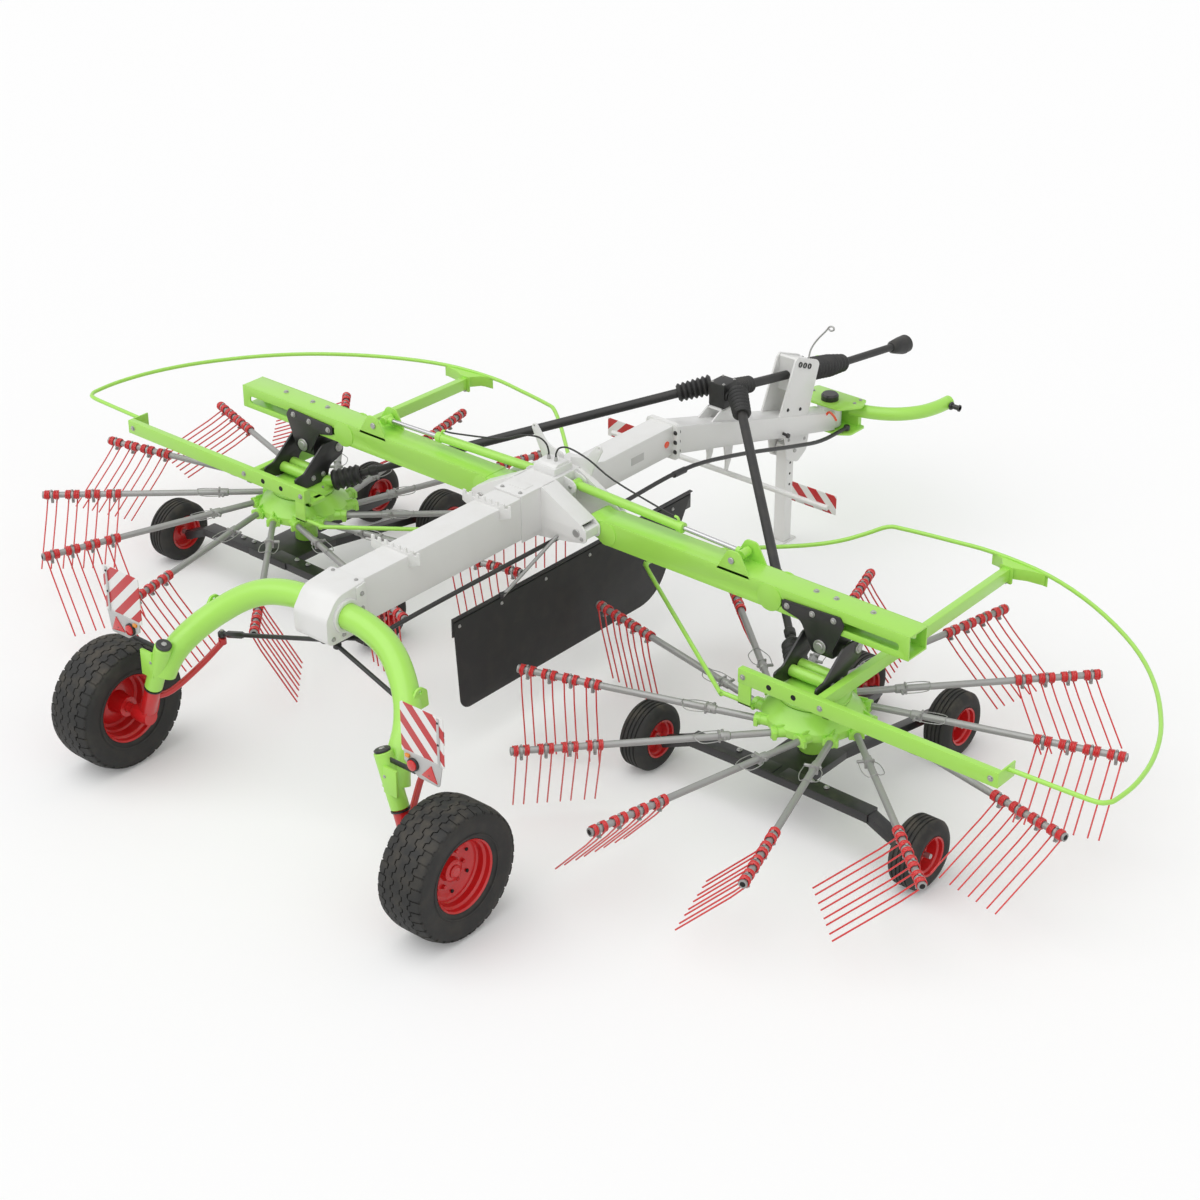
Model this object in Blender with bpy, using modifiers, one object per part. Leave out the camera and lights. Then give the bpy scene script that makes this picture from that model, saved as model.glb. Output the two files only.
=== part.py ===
"""Twin rotor hay rake, modelled as separate sub-parts on their joint axes.

Metres, +Z up, +Y towards the hitch, +X to the machine's right.  Every place along Y
is measured from the rear axle; the last step moves the whole machine so that its
origin lies on the ground at the middle of its outline.
"""
import math

import bmesh
import bpy
from mathutils import Matrix, Vector

# ---------------------------------------------------------------- driving dimensions
GAP = 0.0003                      # between faces that rest on each other
FIT = 0.0003                      # running clearance of a pin in its bore

TRACK = 2.6088                    # between the rear wheels' centre planes
TYRE_R, TYRE_W = 0.3825, 0.31
RIM_R = 0.2205

BEAM_HALF = 0.10                  # main beam, half width
BEAM_TOP, BEAM_BOTTOM = 1.395, 1.12
MID_HALF = 0.09                   # middle beam and drawbar, half width
MID_TOP, MID_BOTTOM = 1.352, 1.153
BEAM_START = 0.655 + GAP          # the beam's rear end, on the axle clamp
JOINT_Y = 3.40                    # flange between middle beam and drawbar
DRAWBAR_END_Y = 5.17
DRAWBAR_FALL = 0.292              # fall of the drawbar's top for each metre forward

ARCH_R = 0.075                    # rear axle tube
ARCH_Y, ARCH_Z = 0.495, 1.25

HINGE_X, HINGE_Z = 0.378, 1.195   # fold hinge of a boom
HINGE_PIN_R = 0.026
BOOM_Y0, BOOM_Y1 = 2.262, 2.443   # boom box, rear and front faces
BOOM_Z0, BOOM_Z1 = 1.097, 1.247
BOOM_END = 2.605
BOOM_WALL = 0.012

ROTOR_X, ROTOR_Y = 2.0368, 2.2231
ARM_COUNT = 12
ARM_Z = 0.581                     # height of the arm tubes
ARM_R = 0.020
ARM_TIP_R = 1.7364
SLEEVE_TIP_R = 0.337
SLEEVE_R = 0.033
ARM_SKEW = 0.469                  # a sleeve leads its arm's tip by this angle
FIRST_ARM = 0.941
TINE_R = 0.0048
TINE_SHORT_LEG, TINE_LONG_LEG = 0.14, 0.405
TINE_KNEE = math.radians(15)
MAST_R = 0.0742
DRUM_R = 0.21
DRUM_Z0, DRUM_Z1 = 0.700, 0.772

SMALL_R, SMALL_W = 0.205, 0.18    # rotor wheels
SMALL_RIM_R = 0.105

CYL_Y, CYL_Z = 2.385, 1.307       # fold cylinder, rod eye
CYL_BASE_X, CYL_BASE_Z = 0.155, 1.345
CYL_EYE_X = 1.405
BARREL_R, ROD_R = 0.028, 0.015

SHAFT_TOP = (0.14, 3.99, 1.35)    # joints at the two ends of a drive shaft
SHAFT_LOW = (1.85, 2.31, 0.77)
SHAFT_R, INNER_R = 0.030, 0.023
BELLOWS_R = 0.072

YOKE_Y = 5.22                     # steering pivot of the hitch
YOKE_PIN_R = 0.030
YOKE_Z0, YOKE_Z1 = 0.689, 0.865   # inner faces of the yoke's two plates
JACK_Y, JACK_PIVOT_Z = 4.72, 0.735
BELL_TIP_Y = 6.13                 # front end of the drive input

GUARD_Z = 0.856                   # guard bow
GUARD_R = 0.0135
BAR_Y0, BAR_Y1 = 1.93, 1.975      # guard's rear bar
BAR_Z0, BAR_Z1 = 0.783, 0.875

MIDDLE_Y = (BELL_TIP_Y - TYRE_R) / 2      # middle of the outline, from the rear axle

COLOURS = {
    # name: (red, green, blue, roughness, metallic)
    "lime_green": (0.36, 0.72, 0.06, 0.35, 0.0),
    "light_grey": (0.72, 0.72, 0.70, 0.40, 0.0),
    "red": (0.70, 0.02, 0.02, 0.40, 0.0),
    "zinc": (0.42, 0.42, 0.41, 0.45, 0.7),
    "black_paint": (0.02, 0.02, 0.022, 0.45, 0.0),
    "rubber": (0.015, 0.015, 0.016, 0.8, 0.0),
    "plastic": (0.018, 0.018, 0.018, 0.6, 0.0),
    "steel": (0.55, 0.55, 0.56, 0.25, 1.0),
}

SIDES = (("right", 1.0), ("left", -1.0))


# ---------------------------------------------------------------- scene set-up
def clear_scene():
    for obj in list(bpy.data.objects):
        bpy.data.objects.remove(obj, do_unlink=True)


def new_collection(name):
    collection = bpy.data.collections.new(name)
    bpy.context.scene.collection.children.link(collection)
    return collection


def make_material(name):
    red, green, blue, roughness, metallic = COLOURS[name]
    material = bpy.data.materials.new(name)
    material.use_nodes = True
    shader = material.node_tree.nodes["Principled BSDF"]
    shader.inputs["Base Color"].default_value = (red, green, blue, 1.0)
    shader.inputs["Roughness"].default_value = roughness
    shader.inputs["Metallic"].default_value = metallic
    return material


clear_scene()
PARTS = new_collection("twin_rotor_hay_rake")
CUTTERS = new_collection("cutters")
MATERIALS = {name: make_material(name) for name in COLOURS}


# ---------------------------------------------------------------- shape helpers
def at_side(sign, point):
    """A point given for the right-hand side, moved to the side with this sign."""
    return (sign * point[0], point[1], point[2])


def object_from(bm, name="piece"):
    bmesh.ops.recalc_face_normals(bm, faces=bm.faces)
    mesh = bpy.data.meshes.new(name)
    bm.to_mesh(mesh)
    bm.free()
    obj = bpy.data.objects.new(name, mesh)
    CUTTERS.objects.link(obj)
    return obj


def baked(obj):
    """A mesh copy of an object with its modifiers or curve bevel, closed and welded."""
    bpy.context.view_layer.update()
    depsgraph = bpy.context.evaluated_depsgraph_get()
    mesh = bpy.data.meshes.new_from_object(obj.evaluated_get(depsgraph))
    mesh.transform(obj.matrix_world)
    bpy.data.objects.remove(obj, do_unlink=True)
    bm = bmesh.new()
    bm.from_mesh(mesh)
    bpy.data.meshes.remove(mesh)
    bmesh.ops.remove_doubles(bm, verts=bm.verts, dist=0.00002)
    return object_from(bm)


def block(x_range, y_range, z_range):
    """A box between two values on each axis."""
    lows = [min(pair) for pair in (x_range, y_range, z_range)]
    highs = [max(pair) for pair in (x_range, y_range, z_range)]
    bm = bmesh.new()
    bmesh.ops.create_cube(bm, size=1.0)
    for vert in bm.verts:
        for axis in range(3):
            middle = (lows[axis] + highs[axis]) / 2
            vert.co[axis] = middle + vert.co[axis] * (highs[axis] - lows[axis])
    return object_from(bm)


def bar(start, end, radius, sides=16, end_radius=None, spin=0.0):
    """A round or tapered bar between two points."""
    start, end = Vector(start), Vector(end)
    length = (end - start).length
    bm = bmesh.new()
    bmesh.ops.create_cone(bm, cap_ends=True, segments=sides, radius1=radius,
                          radius2=radius if end_radius is None else end_radius, depth=length)
    turn = (end - start).to_track_quat("Z", "Y").to_matrix().to_4x4()
    place = Matrix.Translation((start + end) / 2) @ turn @ Matrix.Rotation(spin, 4, "Z")
    bmesh.ops.transform(bm, matrix=place, verts=bm.verts)
    return object_from(bm)


def beam_between(start, end, width, height):
    """A square-section bar between two points, its height as near to Z as it can be."""
    start, end = Vector(start), Vector(end)
    along = (end - start).normalized()
    across = along.cross(Vector((0, 0, 1))).normalized()
    upward = across.cross(along)
    turn = Matrix((across, along, upward)).transposed().to_4x4()
    bm = bmesh.new()
    bmesh.ops.create_cube(bm, size=1.0)
    size = Matrix.Diagonal((width, (end - start).length, height, 1.0))
    bmesh.ops.transform(bm, matrix=Matrix.Translation((start + end) / 2) @ turn @ size,
                        verts=bm.verts)
    return object_from(bm)


def section_of(radius, sides):
    """A small closed outline for bars that need few sides."""
    curve = bpy.data.curves.new("section", "CURVE")
    curve.dimensions = "2D"
    spline = curve.splines.new("POLY")
    spline.points.add(sides - 1)
    for target, (a, b) in zip(spline.points, circle((0, 0), radius, sides)):
        target.co = (a, b, 0.0, 1.0)
    spline.use_cyclic_u = True
    obj = bpy.data.objects.new("section", curve)
    CUTTERS.objects.link(obj)
    return obj


def tube(points, radius, resolution=2, sides=0):
    """A round bar along a route, closed at both ends; sides asks for a coarser section."""
    curve = bpy.data.curves.new("route", "CURVE")
    curve.dimensions = "3D"
    curve.bevel_depth = radius
    curve.bevel_resolution = resolution
    curve.use_fill_caps = True
    spline = curve.splines.new("POLY")
    spline.points.add(len(points) - 1)
    for target, point in zip(spline.points, points):
        target.co = (*point, 1.0)
    obj = bpy.data.objects.new("route", curve)
    CUTTERS.objects.link(obj)
    if not sides:
        return baked(obj)
    section = section_of(radius, sides)
    curve.bevel_mode = "OBJECT"
    curve.bevel_object = section
    result = baked(obj)
    bpy.data.objects.remove(section, do_unlink=True)
    return result


def smooth_route(points, steps=4):
    """Points on a smooth curve through the given points."""
    points = [Vector(point) for point in points]
    ends = [2 * points[0] - points[1]] + points + [2 * points[-1] - points[-2]]
    route = []
    for i in range(1, len(ends) - 2):
        before, here, there, after = ends[i - 1], ends[i], ends[i + 1], ends[i + 2]
        for step in range(steps):
            t = step / steps
            route.append(0.5 * (2 * here + (there - before) * t
                                + (2 * before - 5 * here + 4 * there - after) * t * t
                                + (3 * here - 3 * there + after - before) * t ** 3))
    route.append(points[-1])
    return [tuple(point) for point in route]


def bore_radius(pin_radius, sides):
    """Radius of a many-sided bore whose flats clear a round pin by the running fit."""
    return pin_radius / math.cos(math.pi / sides) + FIT


def circle(centre, radius, steps=16):
    return [(centre[0] + radius * math.cos(2 * math.pi * i / steps),
             centre[1] + radius * math.sin(2 * math.pi * i / steps)) for i in range(steps)]


def rounded(corners, steps=2):
    """An outline whose corners are (a, b, radius); each corner becomes a short arc."""
    outline = []
    count = len(corners)
    for i, (a, b, radius) in enumerate(corners):
        here = Vector((a, b))
        if radius <= 0:
            outline.append((a, b))
            continue
        before = Vector(corners[i - 1][:2]) - here
        after = Vector(corners[(i + 1) % count][:2]) - here
        room = 0.45 * min(before.length, after.length)
        before, after = before.normalized(), after.normalized()
        half = before.angle(after) / 2
        radius = min(radius, room * math.tan(half))
        reach = radius / math.tan(half)
        centre = here + (before + after).normalized() * radius / math.sin(half)
        first, last = here + before * reach - centre, here + after * reach - centre
        for step in range(steps + 1):
            spoke = first.slerp(last, step / steps).normalized() * radius
            outline.append(tuple(centre + spoke))
    return outline


def plate(outline, thickness, normal, place, holes=()):
    """A flat plate.  normal is the axis it faces; place is its middle along that axis.

    The outline's two columns are (y, z) for x, (x, z) for y and (x, y) for z.
    """
    curve = bpy.data.curves.new("outline", "CURVE")
    curve.dimensions = "2D"
    curve.fill_mode = "BOTH"
    curve.extrude = thickness / 2
    for ring in (outline, *holes):
        spline = curve.splines.new("POLY")
        spline.points.add(len(ring) - 1)
        for target, (a, b) in zip(spline.points, ring):
            target.co = (a, b, 0.0, 1.0)
        spline.use_cyclic_u = True
    obj = bpy.data.objects.new("outline", curve)
    CUTTERS.objects.link(obj)
    frames = {
        "x": Matrix(((0, 0, 1, place), (1, 0, 0, 0), (0, 1, 0, 0), (0, 0, 0, 1))),
        "y": Matrix(((1, 0, 0, 0), (0, 0, -1, place), (0, 1, 0, 0), (0, 0, 0, 1))),
        "z": Matrix(((1, 0, 0, 0), (0, 1, 0, 0), (0, 0, 1, place), (0, 0, 0, 1))),
    }
    obj.matrix_world = frames[normal]
    return baked(obj)


def turned(profile, centre, axis, steps=32):
    """A closed ring or disc: a profile of (radius, height) turned about an axis."""
    mesh = bpy.data.meshes.new("profile")
    verts = [(radius, 0.0, height) for radius, height in profile]
    closed = all(radius > 0 for radius, _ in profile)
    edges = [(i, i + 1) for i in range(len(verts) - 1)]
    if closed:
        edges.append((len(verts) - 1, 0))
    mesh.from_pydata(verts, edges, [])
    obj = bpy.data.objects.new("profile", mesh)
    CUTTERS.objects.link(obj)
    screw = obj.modifiers.new("Screw", "SCREW")
    screw.steps = screw.render_steps = steps
    screw.use_merge_vertices = True
    screw.merge_threshold = 0.00005
    axis = Vector(axis).normalized()
    turn = axis.to_track_quat("Z", "Y").to_matrix().to_4x4()
    obj.matrix_world = Matrix.Translation(centre) @ turn
    return baked(obj)


def boolean(obj, others, operation):
    """Join or cut an object with others, by the exact solver."""
    group = bpy.data.collections.new("operands")
    bpy.context.scene.collection.children.link(group)
    for other in others:
        group.objects.link(other)
    modifier = obj.modifiers.new(operation, "BOOLEAN")
    modifier.operation = operation
    modifier.solver = "EXACT"
    modifier.operand_type = "COLLECTION"
    modifier.collection = group
    result = baked(obj)
    for other in others:
        bpy.data.objects.remove(other, do_unlink=True)
    bpy.data.collections.remove(group)
    return result


def part(name, material, pieces, pivot=(0, 0, 0), cuts=()):
    """One named sub-part: pieces joined into one solid, then cut.  Its origin is pivot."""
    obj, others = pieces[0], list(pieces[1:])
    if others:
        obj = boolean(obj, others, "UNION")
    if cuts:
        obj = boolean(obj, list(cuts), "DIFFERENCE")
    obj.name = obj.data.name = name
    CUTTERS.objects.unlink(obj)
    PARTS.objects.link(obj)
    obj.data.materials.append(MATERIALS[material])
    obj.data.transform(Matrix.Translation(-Vector(pivot)))
    obj.location = Vector(pivot) + Vector((0, -MIDDLE_Y, 0))
    obj.data.shade_smooth()
    obj.data.set_sharp_from_angle(angle=math.radians(30))
    return obj


# ---------------------------------------------------------------- main frame
def drawbar_top(y):
    return MID_TOP - 0.012 - DRAWBAR_FALL * (y - JOINT_Y)


def build_main_beam():
    flange_y = JOINT_Y - 0.008
    profile = [(BEAM_START, BEAM_BOTTOM), (2.62, BEAM_BOTTOM), (2.72, MID_BOTTOM),
               (flange_y, MID_BOTTOM), (flange_y, MID_TOP), (2.72, MID_TOP),
               (2.62, BEAM_TOP), (BEAM_START, BEAM_TOP)]
    pieces = [plate(profile, 2 * MID_HALF, "x", 0.0)]
    pieces.append(block((-BEAM_HALF, BEAM_HALF), (BEAM_START, 2.62), (BEAM_BOTTOM, BEAM_TOP)))
    flange = rounded([(-0.125, MID_BOTTOM - 0.03, 0.02), (0.125, MID_BOTTOM - 0.03, 0.02),
                      (0.125, MID_TOP + 0.015, 0.03), (-0.125, MID_TOP + 0.015, 0.03)])
    pieces.append(plate(flange, 0.016, "y", flange_y))
    for rack_y in (1.02, 1.775):
        pieces.append(rack(rack_y))
    return part("main_beam", "light_grey", pieces)


def rack(rack_y):
    """A plate across the beam's top, whose comb holds the tine arms in transport."""
    base, tip, half = BEAM_TOP - 0.03, BEAM_TOP + 0.045, 0.19
    outline = [(-0.11, base - 0.04), (0.11, base - 0.04), (half, base), (half, tip), (-half, tip),
               (-half, base)]
    return plate(outline, 0.010, "y", rack_y)


def build_arch_clamp():
    """The housing at the beam's rear end that holds the axle tube."""
    reach, shell = ARCH_R + 0.055, 0.012
    profile = rounded([(0.34, 1.10, 0.05), (0.655, 1.10, 0.01), (0.655, 1.408, 0.01),
                       (0.42, 1.385, 0.12), (0.34, 1.27, 0.06)], steps=3)
    pieces = [plate(profile, 2 * reach, "x", 0.0)]
    for y in (0.41, 0.60):
        for z in (1.15, 1.31 if y > 0.5 else 1.27):
            pieces.append(bar((-reach - shell, y, z), (reach + shell, y, z), 0.013, 6))
    # black cover plate for the steering cable, and the slot it sits in, are left to trim
    cuts = [bar((-0.3, ARCH_Y, ARCH_Z), (0.3, ARCH_Y, ARCH_Z), ARCH_R + 0.002, 16)]
    return part("arch_clamp", "light_grey", pieces, cuts=cuts)


ARCH_ROUTE = [
    # x, y, z of the tube's centre, from the clamp outwards on the right
    (0.16, ARCH_Y, ARCH_Z), (0.30, 0.49, 1.238), (0.46, 0.462, 1.205), (0.60, 0.41, 1.14),
    (0.73, 0.33, 1.04), (0.82, 0.235, 0.945), (0.868, 0.14, 0.86), (0.892, 0.075, 0.78),
    (0.915, 0.045, 0.70)]
KING_TOP, KING_FOOT = (0.855, 0.015, 0.905), (0.970, 0.010, 0.605)
KING_R = 0.034


def on_kingpin(t):
    """A point on the kingpin's axis: 0 at the sleeve's top, 1 at its foot."""
    return tuple(a + (b - a) * t for a, b in zip(KING_TOP, KING_FOOT))


def build_axle_arch():
    left = [at_side(-1, point) for point in reversed(ARCH_ROUTE)]
    pieces = [tube(left + ARCH_ROUTE, ARCH_R, sides=10)]
    cuts = []
    for _, s in SIDES:
        pieces.append(bar(at_side(s, KING_TOP), at_side(s, KING_FOOT), 0.052, 14))
        cuts.append(bar(at_side(s, on_kingpin(-0.2)), at_side(s, on_kingpin(1.2)),
                        bore_radius(KING_R, 20), 20))
        lug = [(0.30, 0.98), (0.42, 0.98), (0.40, 1.07), (0.38, 1.095), (0.335, 1.095), (0.315, 1.07)]
        pieces.append(plate(lug, 0.014, "x", s * 0.80))
    return part("axle_arch", "lime_green", pieces, cuts=cuts)


WING_REAR = (2.125, 2.2555)       # the pivot block's rear wing lies between these
WING_FRONT = (2.4495, 2.492)


def build_pivot_block():
    """Wings, fold pins, cylinder lugs, horns and the hose block on the main beam."""
    wing = [(-0.45, 1.15), (-0.36, 1.125), (-0.10, 1.085), (0.10, 1.085), (0.36, 1.125),
            (0.45, 1.15), (0.45, 1.215), (0.405, 1.258), (0.115, BEAM_TOP + 0.012),
            (-0.115, BEAM_TOP + 0.012), (-0.405, 1.258), (-0.45, 1.215)]
    pieces = []
    for y0, y1 in (WING_REAR, WING_FRONT):
        pieces.append(plate(wing, y1 - y0, "y", (y0 + y1) / 2))
    pieces.append(plate([(-0.105, 1.10), (0.105, 1.10), (0.105, BEAM_TOP + 0.012),
                         (-0.105, BEAM_TOP + 0.012)], 0.60, "y", 2.24))
    cuts = [block((-BEAM_HALF - GAP, BEAM_HALF + GAP), (1.8, 2.8),
                  (BEAM_BOTTOM - GAP, BEAM_TOP + GAP))]
    pieces.append(block((-0.085, 0.085), (2.27, 2.44), (BEAM_TOP + 0.008, BEAM_TOP + 0.075)))
    for _, s in SIDES:
        pieces.append(bar((s * HINGE_X, WING_REAR[0] - 0.008, HINGE_Z),
                          (s * HINGE_X, WING_FRONT[1] + 0.008, HINGE_Z), HINGE_PIN_R, 12))
        pieces.append(horn(s))
        for y in (CYL_Y - 0.048, CYL_Y + 0.048):
            lug = [(s * 0.09, 1.30), (s * 0.165, 1.30), (s * 0.198, 1.33), (s * 0.198, 1.36),
                   (s * 0.17, 1.385), (s * 0.09, 1.40)]
            pieces.append(plate(lug, 0.012, "y", y))
        pieces.append(bar((s * CYL_BASE_X, CYL_Y - 0.06, CYL_BASE_Z),
                          (s * CYL_BASE_X, CYL_Y + 0.06, CYL_BASE_Z), 0.0125, 12))
    return part("pivot_block", "light_grey", pieces, cuts=cuts)


def horn(s):
    """A forked arm that stands up and outwards beside the folded boom."""
    outline = [(s * 0.05, BEAM_TOP), (s * 0.16, 1.30), (s * 0.195, 1.40), (s * 0.275, 1.565),
               (s * 0.262, 1.590), (s * 0.235, 1.585), (s * 0.150, 1.475), (s * 0.05, 1.45)]
    return plate(outline, 0.014, "y", WING_FRONT[1] - 0.007)


def build_drawbar():
    y0, y1 = JOINT_Y + GAP, DRAWBAR_END_Y
    top0, top1 = drawbar_top(y0), drawbar_top(y1)
    bottom0, bottom1 = MID_BOTTOM - 0.004, 0.694
    profile = [(y0, bottom0), (y1, bottom1), (y1, top1), (y0, top0)]
    pieces = [plate(profile, 2 * MID_HALF, "x", 0.0)]
    flange = rounded([(-0.125, MID_BOTTOM - 0.03, 0.02), (0.125, MID_BOTTOM - 0.03, 0.02),
                      (0.125, MID_TOP + 0.015, 0.03), (-0.125, MID_TOP + 0.015, 0.03)])
    pieces.append(plate(flange, 0.016, "y", y0 + 0.008))
    # boss for the hitch's steering pivot
    pieces.append(bar((0, YOKE_Y, bottom1 + 0.005), (0, YOKE_Y, YOKE_Z1 - 0.001), 0.085, 16))
    pieces.append(block((-0.07, 0.07), (y1 - 0.02, YOKE_Y), (bottom1 + 0.01, top1)))
    # pedestal of the drive gearbox
    pedestal = [(3.80, drawbar_top(3.80) - 0.02), (4.10, drawbar_top(4.10) - 0.02),
                (4.06, 1.262), (3.92, 1.262)]
    pieces.append(plate(pedestal, 0.12, "x", 0.0))
    pieces += tower()
    # cheek plates that carry the parking jack
    cheek = rounded([(4.60, 0.87, 0), (4.885, 0.80, 0), (4.86, 0.66, 0.05),
                     (4.76, 0.60, 0.05), (4.64, 0.66, 0.05)])
    for _, s in SIDES:
        pieces.append(plate(cheek, 0.010, "x", s * 0.070))
    pieces.append(bar((-0.085, JACK_Y, JACK_PIVOT_Z - 0.035), (0.085, JACK_Y, JACK_PIVOT_Z - 0.035),
                      0.014, 16))
    for _, s in SIDES:
        pieces += board_hanger(s)
    cuts = [bar((0, YOKE_Y, 0.5), (0, YOKE_Y, 1.2), bore_radius(YOKE_PIN_R, 16), 16)]
    cuts.append(bar(inlet_point(0.3), inlet_point(1.2), INPUT_R + GAP, 12))
    return part("drawbar", "light_grey", pieces, cuts=cuts)


def tower():
    """The stand near the hitch that the drive input passes through."""
    pieces = []
    side = [(4.52, drawbar_top(4.52) - 0.02), (4.84, drawbar_top(4.84) - 0.02),
            (4.965, 1.262), (4.94, 1.282), (4.72, 1.372), (4.70, 1.365)]
    pieces.append(plate(side, 0.16, "x", 0.0))
    return pieces


FRONT_TUBE_Y, FRONT_TUBE_Z, FRONT_TUBE_R = 3.965, 0.815, 0.018


def board_hanger(s):
    """A curved plate under the drawbar that carries the front board tube."""
    outline = [(3.93, 1.04), (4.03, 1.01), (4.015, 0.90), (FRONT_TUBE_Y + 0.012, FRONT_TUBE_Z + 0.01),
               (FRONT_TUBE_Y - 0.012, FRONT_TUBE_Z + 0.01), (3.955, 0.90)]
    return [plate(outline, 0.012, "x", s * 0.075)]


def build_front_board_bar():
    """Cross tube and its two striped marker boards."""
    pieces = [bar((-0.88, FRONT_TUBE_Y, FRONT_TUBE_Z - 0.0005), (0.88, FRONT_TUBE_Y, FRONT_TUBE_Z - 0.0005),
                  FRONT_TUBE_R, 12)]
    for _, s in SIDES:
        pieces.append(block((s * 0.59, s * 0.93), (FRONT_TUBE_Y + 0.014, FRONT_TUBE_Y + 0.020),
                            (0.775, 0.905)))
    cuts = [block((s * 0.066, s * 0.084), (3.9, 4.05), (FRONT_TUBE_Z + 0.0097, 1.0)) for _, s in SIDES]
    return part("front_board_bar", "light_grey", pieces, cuts=cuts)


# ---------------------------------------------------------------- drive line
def build_drive_gearbox():
    """The angle gearbox on its pedestal, with the two side outlets and the front inlet."""
    centre = Vector((0.0, SHAFT_TOP[1] + 0.02, SHAFT_TOP[2] - 0.005))
    pieces = [block((-0.062, 0.062), (centre.y - 0.07, centre.y + 0.075), (1.262 + GAP, 1.425))]
    for _, s in SIDES:
        pieces.append(bar((s * 0.05, centre.y - 0.02, centre.z), (s * 0.075, centre.y - 0.02, centre.z),
                          0.026, 12))
    pieces.append(bar(inlet_point(-0.08), inlet_point(0.10), 0.024, 12))
    return part("drive_gearbox", "plastic", pieces)


INLET, TOWER_EXIT = Vector((0.0, 4.115, 1.3352)), Vector((0.0, 4.96, 1.189))
INPUT_R = 0.030


def inlet_point(distance):
    """A point on the drive input's axis, by its distance from the gearbox's inlet."""
    return INLET + (TOWER_EXIT - INLET).normalized() * distance


def build_input_shaft():
    """Front drive shaft with its cover, through the tower, and the coupling bell."""
    length = (TOWER_EXIT - INLET).length
    cover_end, shaft_end = Vector((0.0, 5.36, 1.105)), Vector((0.0, 5.95, 1.028))
    bell = (0.0, BELL_TIP_Y - 0.03, 0.998)
    pieces = [bar(inlet_point(0), inlet_point(0.17), 0.064, 16, 0.050),
              bar(inlet_point(0.16), inlet_point(length + 0.02), INPUT_R, 12),
              bar(inlet_point(length + 0.012), cover_end, 0.080, 16),
              bar(cover_end - Vector((0, 0.01, 0)), shaft_end, 0.026, 12),
              bar(shaft_end - Vector((0, 0.01, 0)), bell, 0.045, 16, 0.064),
              bar((bell[0], bell[1] - 0.002, bell[2]), (bell[0], BELL_TIP_Y, bell[2]), 0.064, 16)]
    cuts = [bar(inlet_point(-0.1), inlet_point(0.101), 0.024 + GAP, 12),
            bar((0, BELL_TIP_Y - 0.08, bell[2]), (0, BELL_TIP_Y + 0.05, bell[2]), 0.050, 16)]
    return part("input_shaft", "plastic", pieces, cuts=cuts)


def shaft_point(s, distance):
    """A point on a drive shaft's axis, by its distance from the upper joint."""
    top, low = Vector(at_side(s, SHAFT_TOP)), Vector(at_side(s, SHAFT_LOW))
    return top + (low - top).normalized() * distance


SHAFT_LENGTH = (Vector(SHAFT_LOW) - Vector(SHAFT_TOP)).length
SHAFT_OVERLAP = 1.15              # where the guard tube ends and the inner tube shows


def build_drive_shaft(side, s):
    """Guard tube with its upper bellows, and the tube that slides in it."""
    pivot = at_side(s, SHAFT_TOP)
    guard = [bar(shaft_point(s, 0.0), shaft_point(s, 0.17), 0.058, 16, 0.048),
             bar(shaft_point(s, 0.16), shaft_point(s, SHAFT_LENGTH - 0.75), SHAFT_R, 12)]
    bore = bar(shaft_point(s, 0.30), shaft_point(s, SHAFT_LENGTH), INNER_R + GAP, 12)
    part(f"drive_shaft_{side}", "plastic", guard, pivot, [bore])
    slider = [bar(shaft_point(s, SHAFT_OVERLAP), shaft_point(s, SHAFT_LENGTH - 0.06), INNER_R, 12)]
    part(f"drive_shaft_slider_{side}", "plastic", slider, pivot)


# ---------------------------------------------------------------- booms
def build_boom(side, s):
    pivot = (s * HINGE_X, (BOOM_Y0 + BOOM_Y1) / 2, HINGE_Z)
    middle_y, width = (BOOM_Y0 + BOOM_Y1) / 2, BOOM_Y1 - BOOM_Y0
    pieces = [block((s * 0.46, s * BOOM_END), (BOOM_Y0, BOOM_Y1), (BOOM_Z0, BOOM_Z1))]
    root = [(s * 0.50, BOOM_Z0), (s * 0.50, BOOM_Z1), (s * 0.42, BOOM_Z1 - 0.006)]
    arc = [(s * (HINGE_X - 0.062 * math.sin(a)), HINGE_Z + 0.062 * math.cos(a))
           for a in (0.3, 0.8, 1.3, 1.8, 2.3, 2.8)]
    pieces.append(plate(root + arc, width, "y", middle_y))
    gusset = circle((s * 1.675, (BOOM_Z0 + BOOM_Z1) / 2 - 0.004), 0.083, 10)
    lug = rounded([(s * 1.30, BOOM_Z1 - 0.02, 0), (s * 1.535, BOOM_Z1 - 0.02, 0),
                   (s * 1.455, 1.366, 0.03), (s * 1.375, 1.366, 0.03)])
    for face, sign in ((BOOM_Y0, 1), (BOOM_Y1, -1)):
        pieces.append(plate(gusset, 0.008, "y", face + sign * 0.0005))
        pieces.append(plate(lug, 0.012, "y", face + sign * 0.006))
        # the pin's head; the rod's eye between the lugs is left free of it
        pieces.append(bar((s * CYL_EYE_X, face - sign * 0.010, CYL_Z),
                          (s * CYL_EYE_X, face + sign * 0.006, CYL_Z), 0.020, 12))
    cuts = [bar((s * HINGE_X, 2.0, HINGE_Z), (s * HINGE_X, 2.6, HINGE_Z), bore_radius(HINGE_PIN_R, 16), 16),
            block((s * 1.56, s * (BOOM_END + 0.1)), (BOOM_Y0 + BOOM_WALL, BOOM_Y1 - BOOM_WALL),
                  (BOOM_Z0 + BOOM_WALL, BOOM_Z1 - BOOM_WALL)),
            block((s * 1.63, s * 2.54), (BOOM_Y0 - 0.1, BOOM_Y1 + 0.1), (1.136, 1.184))]
    part(f"boom_{side}", "lime_green", pieces, pivot, cuts)


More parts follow.
